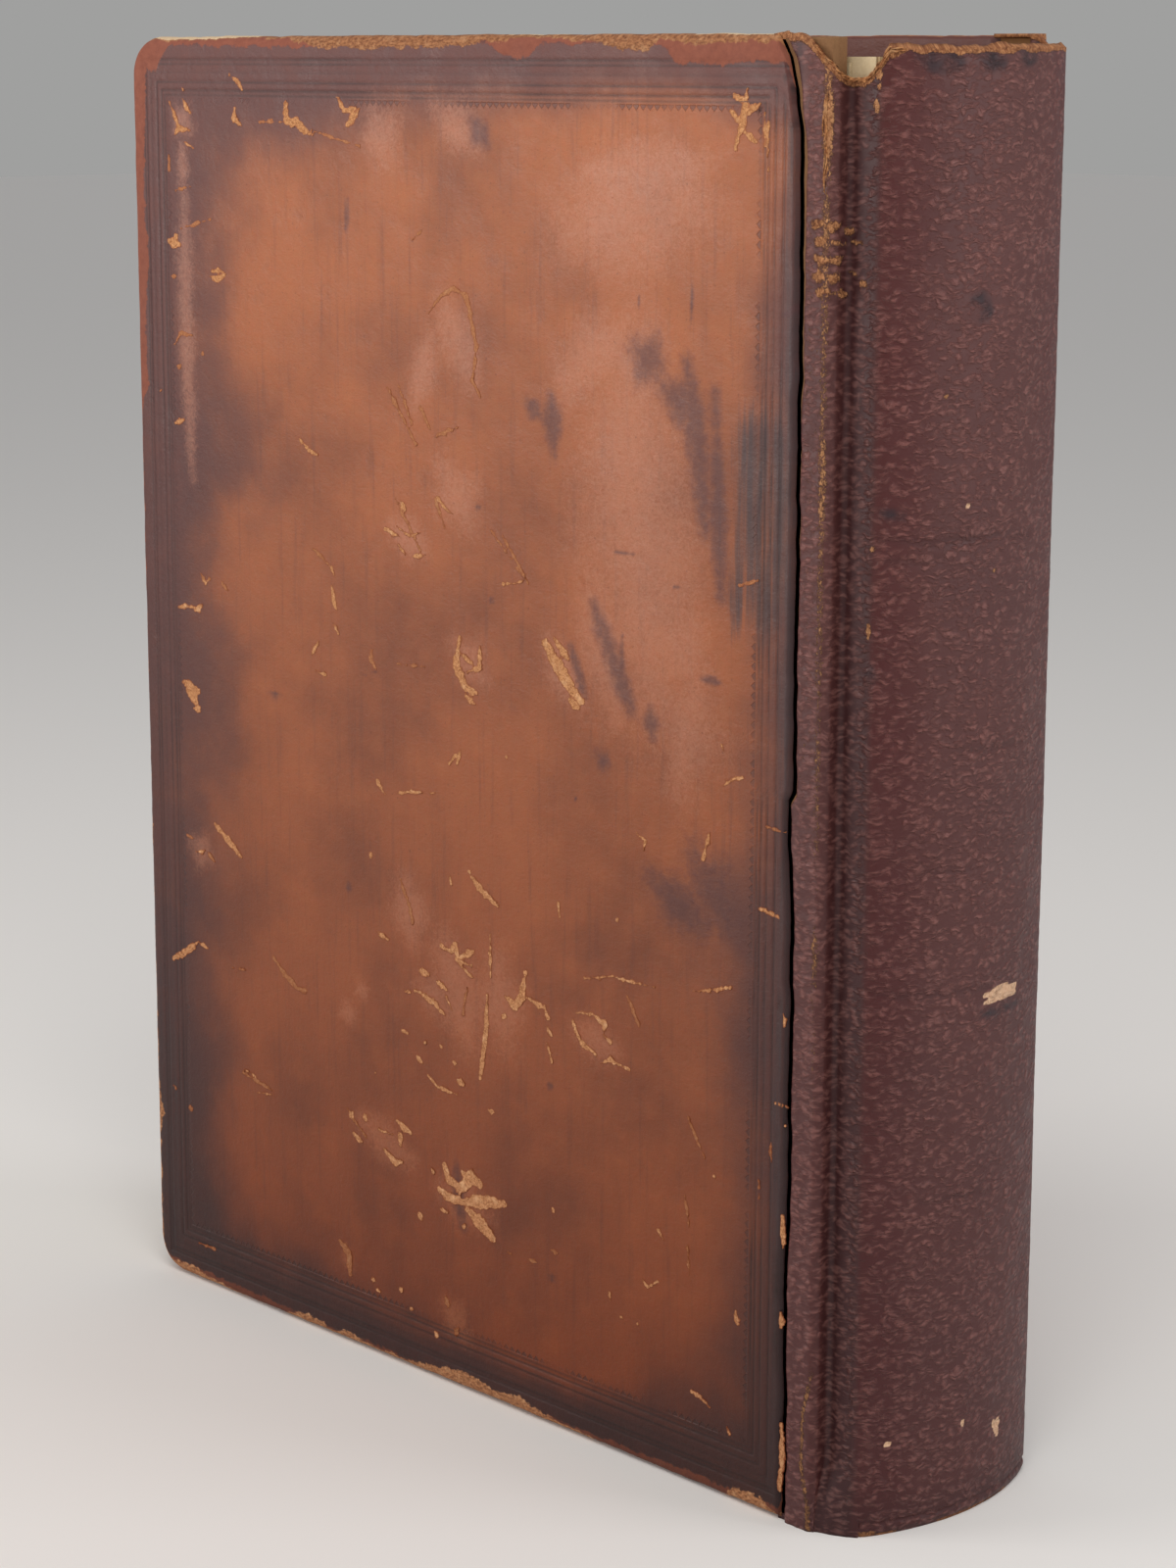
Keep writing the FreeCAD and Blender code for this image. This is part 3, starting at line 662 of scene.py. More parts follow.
def edge_wear(u, z, t, worn):
    """Widths of the bare, red and cream strips along the outline, less the distance from it."""
    along = width - u
    if not worn:
        strip = 1.4 + 0.9 * layered(u, z, 12, 77)
        return strip - t, 3.0 + 1.4 * layered(u, z, 18, 78) - t, np.full(np.shape(t), NO_WEAR)
    tail = through(along, (0, 1.4), (9, 2.2), (12, 4.2), (19, 4.4), (22, 0.6), (48, 0.3), (55, 1.4),
                   (60, 2.6), (65, 2.4), (72, 3.6), (76, 4.6), (82, 3.7), (92, 5.2), (100, 4.0), (109, 2.6),
                   (116, 2.3), (122, 2.6), (126, 3.6), (132, 2.4), (140, 3.9), (146, 2.6), (150, 0.6),
                   (161, 1.4), (169, 2.6), (174, 3.2), (181, 4.2), (186, 3.4))
    fore = through(z, (0, 3.0), (30, 2.6), (35, 4.4), (41, 2.6), (100, 2.2), (180, 1.6), (215, 1.8),
                   (260, 1.6))
    head = through(along, (0, 1.6), (10, 2.6), (36, 3.0), (40, 1.6), (43, 4.2), (52, 3.6), (60, 2.2),
                   (72, 1.4), (90, 3.4), (118, 3.8), (132, 3.6), (140, 1.6), (150, 1.2), (163, 1.8),
                   (180, 1.8), (191, 1.2))
    nearest = np.stack([z, u, height - z]).argmin(0)
    bare = np.choose(nearest, [tail, fore, head]) - t
    red_fore = through(z, (0, 1), (60, 1.5), (130, 2.2), (185, 2.6), (190, 5.2), (203, 4.4), (215, 6.0),
                       (232, 5.0), (250, 6.5), (260, 8))
    red_head = through(along, (0, 3), (10, 6), (36, 6.4), (40, 3), (70, 3), (73, 5.6), (79, 5.4), (84, 3),
                       (130, 3.6), (178, 3), (182, 8), (191, 9))
    red_tail = through(along, (0, 4), (60, 3), (130, 3), (191, 4.4))
    red = np.choose(nearest, [red_tail, red_fore, red_head]) - t
    strip = through(along, (8, -9), (9, 0.9), (33, 0.7), (37, -9), (60, -9), (64, 0.5), (80, 0.5), (84, -9),
                    (145, -9), (150, 0.9), (163, 1.7), (182, 1.6), (187, -0.5), (191, -9))
    cream = np.where(nearest == 2, strip - t, NO_WEAR)
    return bare, red, cream


def calf_face(side, seed, worn, step):
    """The calf's grid over the face and its rolled edges, and each point's distance from the rim."""
    # The columns from `stretch` to `end` are drawn out to the calf's own edge
    stretch, end = width - 24.0, width - 6.0
    cols = cell_lines(width, False, FRAME_INSET, JOINT_INSET, step)
    cols = np.append(cols[cols <= width - 6.7], end)
    rows = cell_lines(height, True, FRAME_INSET, FRAME_INSET, step)
    skin_u, skin_v = np.meshgrid(cols, rows)
    flat_u, _ = rolled(skin_u)
    low_v, _ = rolled(skin_v)
    high_v, _ = rolled(height - skin_v)
    from_end = np.minimum(low_v, high_v)
    is_low = skin_v < height / 2
    t_skin = np.minimum(skin_u, np.minimum(skin_v, height - skin_v))
    u, v = cornered(flat_u, from_end)
    z = np.where(is_low, v, height - v)
    edge = calf_edge(z, worn)
    share = np.clip((u - stretch) / (end - stretch), 0, None)
    u = np.where(u > stretch, stretch + share * (width - edge - stretch), u)
    _, drop = rolled(t_skin)
    ragged = smooth(t_skin, 5, 0) * (0.22 + 0.22 * layered(u + z, u - z, 5, seed + 31))
    out = relief(u, z, seed, edge)
    y = np.minimum(outer_y - drop + out * smooth(t_skin, 0, 4) - FACE_SINK, outer_y + FACE_LIMIT)
    near_end = np.minimum(z, height - z)
    z = z + np.where(is_low, 1, -1) * ragged * smooth(near_end, 6, 0)
    u = u + ragged * smooth(u, 6, 0)
    return np.stack([fore_x + u, side * y, z], -1), t_skin


def calf_turn_in(face, side, seed, worn):
    """The calf's points and faces with its turned-in edges, and 1 at each point turned in."""
    n_rows, n_cols = face.shape[:2]
    rim = outline(n_rows, n_cols)
    points = [face.reshape(-1, 3)]
    faces = [quads(n_rows, n_cols)]
    base = points[0][rim]
    joint_side = rim % n_cols == n_cols - 1
    # Rings past the outline: how far each lies above the turned-in face, and in from the outline
    profile = [(2.4, 0), (1.7, 0), (1.0, 0), (0.35, 0.05), (0.05, 0.35), (0, 0.8), (0, 2.0),
               (0, 3.6), (0, 5.4), (0, 11.5), (LEATHER, 11.6)]
    last = rim
    count = len(points[0])
    half_z = height / 2
    edge_u = width - calf_edge(base[:, 2], worn)
    for n, (above, inset) in enumerate(profile):
        depth = turn_in_y + above
        ring = base.copy()
        ring[:, 0] = np.where(joint_side, ring[:, 0],
                              fore_x + edge_u - (edge_u - (base[:, 0] - fore_x)) * (1 - inset / width))
        ring[:, 2] = half_z + (base[:, 2] - half_z) * (1 - 2 * inset / height)
        waves = noise(base[:, 0] + base[:, 2], base[:, 2] - base[:, 0], 4, seed + n)
        ring[:, 1] = side * (depth + 0.03 * waves)
        ring[joint_side, 1] = side * max(depth, core_inner_y)
        points.append(ring)
        current = count + np.arange(len(rim))
        faces.append(np.stack([np.roll(last, -1), last, current, np.roll(current, -1)], -1))
        last = current
        count += len(rim)
    # Strips between the last ring's two long sides close the piece inside
    bottom, right = n_cols - 1, n_rows - 1
    fore = np.roll(last[::-1], 1)[:right + 1]
    joint = last[bottom:bottom + right + 1]
    strips = [[fore[i], joint[i], joint[i + 1], fore[i + 1]] for i in range(1, right - 1)]
    strips.append([*last[:bottom + 1], joint[1], fore[1]])
    strips.append([fore[right - 1], joint[right - 1], *last[bottom + right:2 * bottom + right + 1]])
    faces = [list(f) for group in faces for f in group] + [f[::-1] for f in strips]
    turned_in = np.repeat([float(above < 0.2) for above, _ in profile], len(rim))
    return np.concatenate(points), faces, np.append(np.zeros(n_rows * n_cols), turned_in)


def calf(name, side, seed, worn, step, material):
    """One board's old calf, over the face, round three edges and turned in."""
    face, t_skin = calf_face(side, seed, worn, step)
    points, faces, inner = calf_turn_in(face, side, seed, worn)
    all_u, all_z = points[:, 0] - fore_x, points[:, 2]
    t = np.append(t_skin, np.zeros(len(points) - t_skin.size))
    shade, black = shades(all_u, all_z, seed, worn)
    bare, red, cream = edge_wear(all_u, all_z, t, worn)
    inset, along_band = band_place(all_u, all_z)
    grooves = np.max([np.clip(1 - np.abs(inset - f) / FILLET_HALF, 0, 1) for f in FILLETS], 0)
    patchy = smooth(layered(all_u, all_z, 20, seed + 44), -0.3, 0.3)
    grooves = grooves * (inner < 0.5) * (0.55 + 0.45 * patchy)
    along = width - all_u
    # The front is taken to be less worn, with a few of the rear's rubs and smudges
    # The rear's rubs include the painted sheen patches
    rubs = soft_marks(along, all_z, RUBS_AND_SHEEN if worn else RUBS_AND_SHEEN[::5]) * (1 - inner)
    smudges = soft_marks(along, all_z, SMUDGES if worn else SMUDGES[::6]) * (1 - inner)
    far = np.where(inner > 0, NO_WEAR, 0)
    # The front's textures come from another part of the same noise
    shift = 0 if worn else 400
    return piece(name, points, outward(faces, side), material, "old_calf",
                 flat=skin_map(along + shift, all_z + seed * 3.0),
                 rise=np.clip(all_z / height, 0, 1) ** 0.9, shade=shade, black=black, tool=grooves,
                 inset=inset, along_band=along_band, rub=rubs, smudge=smudges, wear=bare + far,
                 red=red + far, cream=cream + far)


def scuffs(name, side, seed, marks, faint, material):
    """Thin scabs of raw fibre that lie on the calf, cut out of a fine grid."""
    cell = 0.24
    proud, sunk, top_limit = 0.04, 0.15, outer_y + 0.3
    nx, nz = int(width / cell), int(height / cell)
    gx, gz = np.meshgrid(np.arange(nx) * cell, np.arange(nz) * cell)
    bright_depth = strokes(gx, gz, marks)
    faint_depth = strokes(gx, gz, faint)
    depth = np.maximum(bright_depth, faint_depth)
    near = depth > -1.2
    fray = np.zeros_like(depth)
    fray[near] = 0.42 * layered(gx[near], gz[near], 1.5, seed)
    fray[near] += 0.2 * noise(gx[near], gz[near], 0.55, seed + 3)
    depth = np.where(near, depth + fray, depth)
    inside = depth > 0
    cells = inside[:-1, :-1] | inside[1:, :-1] | inside[:-1, 1:] | inside[1:, 1:]
    # Patches that only touch at a corner are joined, so that every edge has two faces
    for _ in range(4):
        low, right = cells[:-1, :-1].copy(), cells[:-1, 1:].copy()
        up, far = cells[1:, :-1].copy(), cells[1:, 1:].copy()
        cells[1:, :-1] |= low & far & ~up & ~right
        cells[:-1, :-1] |= up & right & ~low & ~far
    used = np.zeros_like(inside)
    for dz in (0, 1):
        for dx in (0, 1):
            used[dz:nz - 1 + dz, dx:nx - 1 + dx] |= cells
    slope_z, slope_x = np.gradient(depth, cell)
    steep = np.maximum(slope_x**2 + slope_z**2, 0.2)
    pull = np.where(inside, 0, np.clip(-depth, 0, 0.3)) / steep
    move_x = np.clip(slope_x * pull, -0.9 * cell, 0.9 * cell)
    move_z = np.clip(slope_z * pull, -0.9 * cell, 0.9 * cell)
    number = np.full(inside.shape, -1)
    number[used] = np.arange(used.sum())
    along, z = (gx + move_x)[used], (gz + move_z)[used]
    u = width - along
    surface = outer_y + relief(u, z, seed, calf_edge(z, side < 0)) - FACE_SINK
    deep = np.clip(depth[used], 0, None)
    curl = 0.1 * smooth(deep, 0.35, 0) * smooth(layered(along, z, 2.2, seed + 8), 0.0, 0.5)
    top = surface + proud + curl + 0.03 * noise(along, z, 0.6, seed + 9)
    upper = np.stack([ridge_x - along, side * np.minimum(top, top_limit), z], -1)
    lower = np.stack([ridge_x - along, side * (surface - sunk), z], -1)
    r, c = np.nonzero(cells)
    sheet = np.stack([number[r, c], number[r, c + 1], number[r + 1, c + 1], number[r + 1, c]], -1)
    total = len(upper)
    edges = np.concatenate([sheet[:, [n, (n + 1) % 4]] for n in range(4)])
    keys = edges[:, 0] * total + edges[:, 1]
    back = edges[:, 1] * total + edges[:, 0]
    rim = edges[~np.isin(keys, back)]
    walls = np.stack([rim[:, 1], rim[:, 0], rim[:, 0] + total, rim[:, 1] + total], -1)
    faces = np.concatenate([sheet, sheet[:, ::-1] + total, walls])
    is_faint = (faint_depth > bright_depth)[used].astype(float)
    # Along runs against the calf's u, so the faces wind the other way about
    return piece(name, np.concatenate([upper, lower]), outward(faces, -side), material, "old_calf",
                 flat=np.tile(skin_map(along, z), (2, 1)), rise=twice(np.clip(z / height, 0, 1)),
                 deep=twice(deep), faint=twice(is_faint))


calf_material = calf_finish()
scuff_material = scuff_finish()
rear_calf = calf("rear_calf", -1, 3, True, 0.92, calf_material)
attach(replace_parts(rear_calf, "rear_cover_leather"), "rear_cover")
rear_scuffs = scuffs("rear_calf_scuffs", -1, 3, BRIGHT, FAINT, scuff_material)
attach(rear_scuffs, "rear_cover")
front_calf = calf("front_calf", 1, 11, False, 1.25, calf_material)
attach(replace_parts(front_calf, "front_cover_leather"), "front_cover")


# The newer leather: over the spine, through the grooves and under the old calf

def goatskin_finish():
    """Dark maroon pebbled goatskin, with tan fibres where it is rubbed through, a painted highlight on the
    joint's wrinkles, and painted shade in the grooves, creases and crack.
    """
    f = Finish("spine_goatskin", specular=0.3)
    flat = f.flat()
    drift = f.node("TexNoise", {"Vector": flat, "Scale": 0.35, "Detail": 2.0}, 1)
    bent = f.node("VectorMath", {0: flat, 1: f.stretch(drift, (2.2, 2.2, 0))}, operation="ADD")
    slanted = f.node("Mapping", {0: bent, 2: (0, 0, math.radians(-9)), 3: (0.62, 1.15, 1)})
    pebble = f.cells(slanted, 1.0, "SMOOTH_F1", 0.35)
    wrinkle = f.noise(f.stretch(slanted, (0.8, 1.5, 1)), 1.05, 3, 0.6, 0.6)
    pores = f.noise(flat, 0.35, 2, 0.5)
    broad = f.noise(flat, 30, 3)
    patchy = f.noise(flat, 6, 4, 0.6)
    # These tones run lighter towards the head: painted light falling from above
    base = f.head_lit_tones((94, 46, 42), (122, 73, 67))
    base = f.mix(f.ramp(broad, 0.4, 0.65, 0, 0.4), base, f.head_lit_tones((80, 43, 42), (104, 63, 61)))
    base = f.mix(f.ramp(patchy, 0.45, 0.75, 0, 0.35), base, srgb(112, 70, 66))
    base = f.mix(f.field("red"), base, f.head_lit_tones((82, 24, 22), (108, 46, 42)))
    # Painted shade in the grooves, the crack and the creases, and darker along the tail
    base = f.mix(f.times(f.field("dark"), 0.8), base, f.head_lit_tones((46, 14, 14), (66, 30, 30)))
    # Darker valleys between the pebbles are painted shade; the paler, greyer crests are a painted highlight
    # with some wear
    crest = f.ramp(f.plus(f.times(wrinkle, 0.6), f.times(pebble, -0.42)), 0.0, 0.32)
    colour = f.mix(f.times(f.math("SUBTRACT", 1.0, crest), 0.55), base, srgb(44, 20, 24))
    colour = f.mix(f.times(crest, 0.36), colour, srgb(138, 98, 92))
    colour = f.mix(f.field("stain"), colour, srgb(44, 32, 38))
    fibre = f.noise(f.stretch(flat, (1.6, 1, 1)), 0.8, 5, 0.72, 0.9)
    # Tan where rubbed through, and a paler painted highlight on the joint's wrinkles
    rubbed = f.ramp(f.plus(f.field("rub"), f.sway(fibre, 1.5)), 0.42, 0.62)
    dull = f.mix(f.ramp(fibre, 0.35, 0.65), f.head_lit_tones((96, 58, 36), (146, 92, 58)),
                 f.head_lit_tones((150, 104, 66), (206, 150, 104)))
    colour = f.mix(rubbed, colour, dull)
    torn = f.ramp(f.plus(f.field("raw"), f.sway(fibre, 1.1)), 0.3, 0.55)
    pale = f.mix(f.ramp(fibre, 0.36, 0.7), f.head_lit_tones((96, 56, 34), (128, 76, 46)),
                 f.head_lit_tones((172, 118, 76), (206, 146, 98)))
    colour = f.mix(torn, colour, pale)
    chip = f.ramp(f.field("chip"), 0.25, 0.5)
    colour = f.mix(chip, colour, f.mix(f.ramp(fibre, 0.3, 0.7), srgb(184, 140, 108), srgb(222, 186, 152)))
    rough = f.ramp(patchy, 0.3, 0.7, 0.42, 0.54)
    rough = f.plus(rough, f.times(f.math("MAXIMUM", rubbed, torn), 0.3))
    grain = f.plus(f.times(crest, f.field("grain")), f.times(pores, 0.08))
    grain = f.plus(grain, f.times(f.math("MAXIMUM", rubbed, torn), f.times(fibre, 1.1)))
    return f.done(colour, rough, f.bump(grain, 0.38))


def fibre_finish():
    """Torn leather fibres."""
    f = Finish("torn_fibres", roughness=0.85, specular=0.2)
    place = f.place()
    run = f.noise(place, 0.7, 4, 0.65)
    tone = f.mix(f.ramp(run, 0.36, 0.7), srgb(120, 70, 40), srgb(200, 142, 92))
    tone = f.mix(f.ramp(f.noise(place, 3, 2), 0.5, 0.7, 0, 0.4), tone, srgb(216, 172, 126))
    return f.done(tone, 0.85, f.bump(run, 0.2))


def on_spine(s):
    """The place and the outward direction at a length s from the rear shoulder."""
    shoulder = SHOULDER_RADIUS * (math.pi / 2 - shoulder_turn)
    crown = 2 * spine_radius * shoulder_turn
    mirror = s > shoulder + crown / 2
    s = np.where(mirror, 2 * shoulder + crown - s, s)
    turn = np.clip(s, 0, shoulder) / SHOULDER_RADIUS
    angle = -shoulder_turn + (s - shoulder) / spine_radius
    on_arc = s > shoulder
    x = np.where(on_arc, spine_x + spine_radius * np.cos(angle),
                 shoulder_x + SHOULDER_RADIUS * np.sin(turn))
    y = np.where(on_arc, spine_radius * np.sin(angle),
                 -(floor_y - SHOULDER_RADIUS + SHOULDER_RADIUS * np.cos(turn)))
    nx = np.where(on_arc, np.cos(angle), np.sin(turn))
    ny = np.where(on_arc, np.sin(angle), -np.cos(turn))
    x, nx = np.where(s < 0, shoulder_x + s, x), np.where(s < 0, 0.0, nx)
    y, ny = np.where(s < 0, -floor_y, y), np.where(s < 0, -1.0, ny)
    flip = np.where(mirror, -1.0, 1.0)
    return x, y * flip, nx, ny * flip


spine_length = 2 * (SHOULDER_RADIUS * (math.pi / 2 - shoulder_turn) + spine_radius * shoulder_turn)


def head_line(s, torn=True):
    """The height of the newer leather's head edge, with the tear at the rear joint."""
    if not torn:
        return np.full(np.shape(s), spine_top) + 0.25 * noise(s, 5, 3, 51)
    place = through(s, (-16, 260), (-14.2, 259.2), (-11, 256.2), (-8, 253.8), (-5.4, 252.6), (-2.4, 252.9),
                    (-0.8, 253.6), (0.8, 255.2), (2.2, 256.9), (4, 257.3), (50, 257.4))
    return place + 0.3 * noise(s, 0, 2.5, 51) + 0.18 * noise(s, 3, 0.8, 52)


# Marks on the spine leather: a half width, then (length from the rear shoulder, height) points

SPINE_SEED = 61
SPINE_STAINS = [
    (2.2, 7.75, 256.5, 11, 255.5, 15, 255.4), (1.6, 19.25, 257, 22, 255.6, 25, 255.2),
    (1.0, 19.6, 216.6, 21.5, 217, 23, 214.6, 21.4, 213.8), (0.9, 1.0, 155.6, 1.2, 154),
    (0.7, 2.5, 182, 6, 181.4), (0.6, 26, 92.8, 30, 92.4, 37, 92.6), (1.6, 30, 256.8, 34, 256),
]
SPINE_RUBS = [
    (0.6, 0.6, 254, 0.5, 252.6), (0.55, 0, 249, 0.3, 247.4), (0.4, 0.6, 251.2),
    (0.35, 0.5, 163.4, 0.5, 161), (0.35, 1.0, 176), (0.3, 14, 201), (0.3, 26, 171),
]
SPINE_CHIPS = [
    (0.75, 26.8, 94.9, 31, 95.3, 36.4, 95), (0.75, 26.6, 95.9, 31, 96.2, 36.6, 95.9),
    (0.7, 32.6, 15.4, 34.6, 12), (0.55, 7.0, 17.2), (0.4, 23.7, 17.6), (0.35, 19.25, 182.5),
    (0.8, 34.2, 14.6),
]
SPINE_CREASES = [
    (0.6, 0.75, 178, 6, 177.4, 11.8, 176.4, 24, 177, 37, 176), (0.5, 3, 173.8, 14, 173.6),
    (0.5, 0.75, 100, 8, 98.6, 16, 98, 28, 97.6), (0.4, 10, 120, 24, 119.4), (0.4, 12, 61, 30, 60.2),
    (0.5, 18, 140.6, 36, 139.8),
]


# Lengths past the shoulder of the joint section's last columns, tucked under the spine's cover
PAST_SHOULDER = (0.25, 0.5, 0.8, 1.15, 1.5, 1.8)

# A worn patch across the rear ridge, as short raised curls: half width, then (from the ridge, height)
RIDGE_PATCH = [
    (0.8, 3.2, 229, 1.4, 229.4), (0.7, 0.6, 228.6, -1.6, 229), (0.6, -2.4, 228.4, -4.2, 228),
    (0.8, 2.8, 226.2, 0.8, 226.6), (0.6, -0.6, 226.2, -2.6, 226), (0.45, -4.6, 226.4, -6.2, 226.2),
    (0.8, 2.6, 223.6, 1.0, 223), (0.7, -0.4, 223.4, -2.2, 223.6), (0.9, 3.0, 220.8, 1.2, 220.4),
    (0.8, 0.2, 220.6, -1.8, 220.2), (0.4, -4.4, 221.4, -5.2, 221), (0.8, 2.4, 218, 0.4, 218.2),
    (0.7, -1.2, 218, -3.2, 217.6), (0.35, -6.8, 219.4, -7.6, 219.2),
]


def leather_fields(s, z, seed, rear):
    """Where the newer leather is red, stained, rubbed or chipped, darker along the tail, and painted shade
    in the groove.
    """
    drift = noise(s, z, 24, seed)
    red = smooth(s, 0.0, 2.0) * smooth(s, 16 + 4 * drift, 4) * (0.8 + 0.2 * noise(s, z, 9, seed + 1))
    # Painted shade in the groove, from the ridge's wall across the floor to the shoulder
    dark = smooth(s, 1.8, 0.2) * smooth(s, -8.5, -5.0) * 0.9
    # Darker along the tail near the rear shoulder
    dark = np.maximum(dark, 0.5 * smooth(z, 10, 2) * smooth(s, 40, 20))
    if not rear:
        return red, dark, np.zeros_like(s), np.zeros_like(s), np.zeros_like(s)
    stain = smooth(strokes(s, z, SPINE_STAINS), -1.0, 0.5) * (0.65 + 0.35 * noise(s, z, 1.4, seed + 2))
    rub = smooth(strokes(s, z, SPINE_RUBS), -0.5, 0.3)
    chip = smooth(strokes(s, z, SPINE_CHIPS) + 0.15 * noise(s, z, 0.9, seed + 3), -0.25, 0.25)
    return red, dark, stain, rub, chip


def spine_cover(material):
    """The rigid stretch of newer leather, from shoulder to shoulder."""
    seed = SPINE_SEED
    rows = np.concatenate([np.linspace(0, 4, 14), np.linspace(4, 250, 356)[1:],
                           np.linspace(250, 258, 27)[1:]])
    s, row = np.meshgrid(np.linspace(0, spine_length, 118), rows)
    top = head_line(s) * smooth(s, 30, 10) + head_line(spine_length - s, False) * smooth(s, 10, 30)
    z = row * top / rows[-1]
    x, y, nx, ny = on_spine(s)
    grain = 0.07 * layered(s * 0.6, z * 1.2, 1.6, seed)
    swell = 0.12 * layered(s, z, 40, seed + 5) + 0.05 * layered(s, z, 9, seed + 6)
    crease = smooth(strokes(s, z, SPINE_CREASES), -0.6, 0.5)
    tail_line = smooth(np.abs(z - 2.3 - 0.3 * noise(s, 0, 6, seed)), 0.7, 0)
    roll = smooth(z, 1.2, 0) * 0.45
    away = smooth(np.minimum(s, spine_length - s), 0, 2.0)
    out = (grain + swell) * away - 0.22 * crease - 0.28 * tail_line * away - roll
    out = out + smooth(top - z, 1.2, 0) * 0.16 * layered(s, z, 2, seed + 9)
    outer = np.stack([x + nx * out, y + ny * out, z], -1)
    lift = smooth(top - z, 2.5, 0) * (0.7 + 0.5 * layered(s, 0, 3.5, seed + 12)) * away
    inner = np.stack([x - nx * LEATHER, y - ny * LEATHER, z + lift], -1)
    points, faces = shell(outer, inner)
    red, dark, stain, rub, chip = leather_fields(s, z, seed, True)
    mirrored = leather_fields(spine_length - s, z, seed + 7, False)
    red, dark = np.maximum(red, mirrored[0]), np.maximum(dark, mirrored[1])
    frayed = 0.95 + 0.8 * layered(s, 0, 3, seed + 14) + smooth(s, 6, 1) \
        + 0.7 * smooth(np.abs(s - 26), 4, 1)
    raw = smooth(top - z, frayed, frayed * 0.35)
    raw = np.maximum(raw, 0.85 * smooth(z, 0.9, 0.2) * smooth(layered(s, 0, 7, seed + 3), -0.5, 0.3))
    raw = np.maximum(raw, smooth(z, 1.7, 0.4) * smooth(np.abs(s - 2.5), 3.4, 1.8))
    # Painted shade in the creases
    dark = np.maximum(dark, crease * 0.5)
    grain_strength = 0.9 + 0.25 * layered(s, z, 20, seed + 20)
    return piece("spine_cover", points, faces, material, "spine_leather",
                 flat=np.tile(skin_map(s, z), (2, 1)), rise=twice(z / height), red=twice(red),
                 dark=twice(dark), stain=twice(stain), rub=twice(rub), chip=twice(chip),
                 raw=np.append(raw, np.ones(raw.size)), grain=twice(grain_strength))


def joint_section(edge, gap):
    """The joint leather's section, from under the calf to just past the shoulder.

    Gives the outer skin's x and y and the inner skin's x and y, each as a grid with a row for
    each height and a column for each place on the section, then the column on the ridge and
    the number of columns that lie on the board.
    """
    columns = []

    def column(x, y, back_y, back_x=None):
        back_x = np.minimum(x, ridge_x - LEATHER) if back_x is None else back_x
        columns.append([v + np.zeros(len(edge)) for v in (x, y, back_x, back_y)])

    def quarter_turn(count):
        return np.linspace(0, math.pi / 2, count)[1:]

    lip = edge + gap
    for x, fall, back in ((edge - 2.0, 0.8, 1.1), (edge - 0.2, 0.8, 1.1), (edge + 0.15 * gap, 0.95, 1.2),
                          (lip, 0.65, 1.2), (lip + 0.12, 0.2, 1.1), (lip + 0.4, 0.04, 1.0)):
        column(x, strip_y - fall, strip_y - back)
    start, end = lip + 0.75, ridge_x - RIDGE_RADIUS
    for share in np.linspace(0, 1, 12):
        column(start + (end - start) * share, strip_y, strip_y - LEATHER)
    ridge_column = len(columns) + 2
    for a in quarter_turn(9):
        column(end + RIDGE_RADIUS * math.sin(a), strip_y - RIDGE_RADIUS * (1 - math.cos(a)),
               strip_y - LEATHER - a)
    for above in (1.9, 1.4, GROOVE_FILLET):
        column(ridge_x, floor_y + above, floor_y + above - 1.2)
    on_board = len(columns)
    for n, a in enumerate(quarter_turn(6)):
        x = ridge_x + GROOVE_FILLET * (1 - math.cos(a))
        column(x, floor_y + GROOVE_FILLET * (1 - math.sin(a)),
               joint_inner_y + 0.35 * (1 - a / (math.pi / 2)), x - (0.4 if n < 3 else 0))
    groove_start = ridge_x + GROOVE_FILLET
    for share in np.linspace(0, 1, 12)[1:]:
        x = groove_start + (shoulder_x - groove_start) * share
        column(x, floor_y, joint_inner_y, x)
    for x, y, nx, ny in zip(*on_spine(np.array(PAST_SHOULDER))):
        column(x, -y, -y + ny * 0.72, x - nx * 0.72)
    return *np.array(columns).transpose(1, 2, 0), ridge_column, on_board


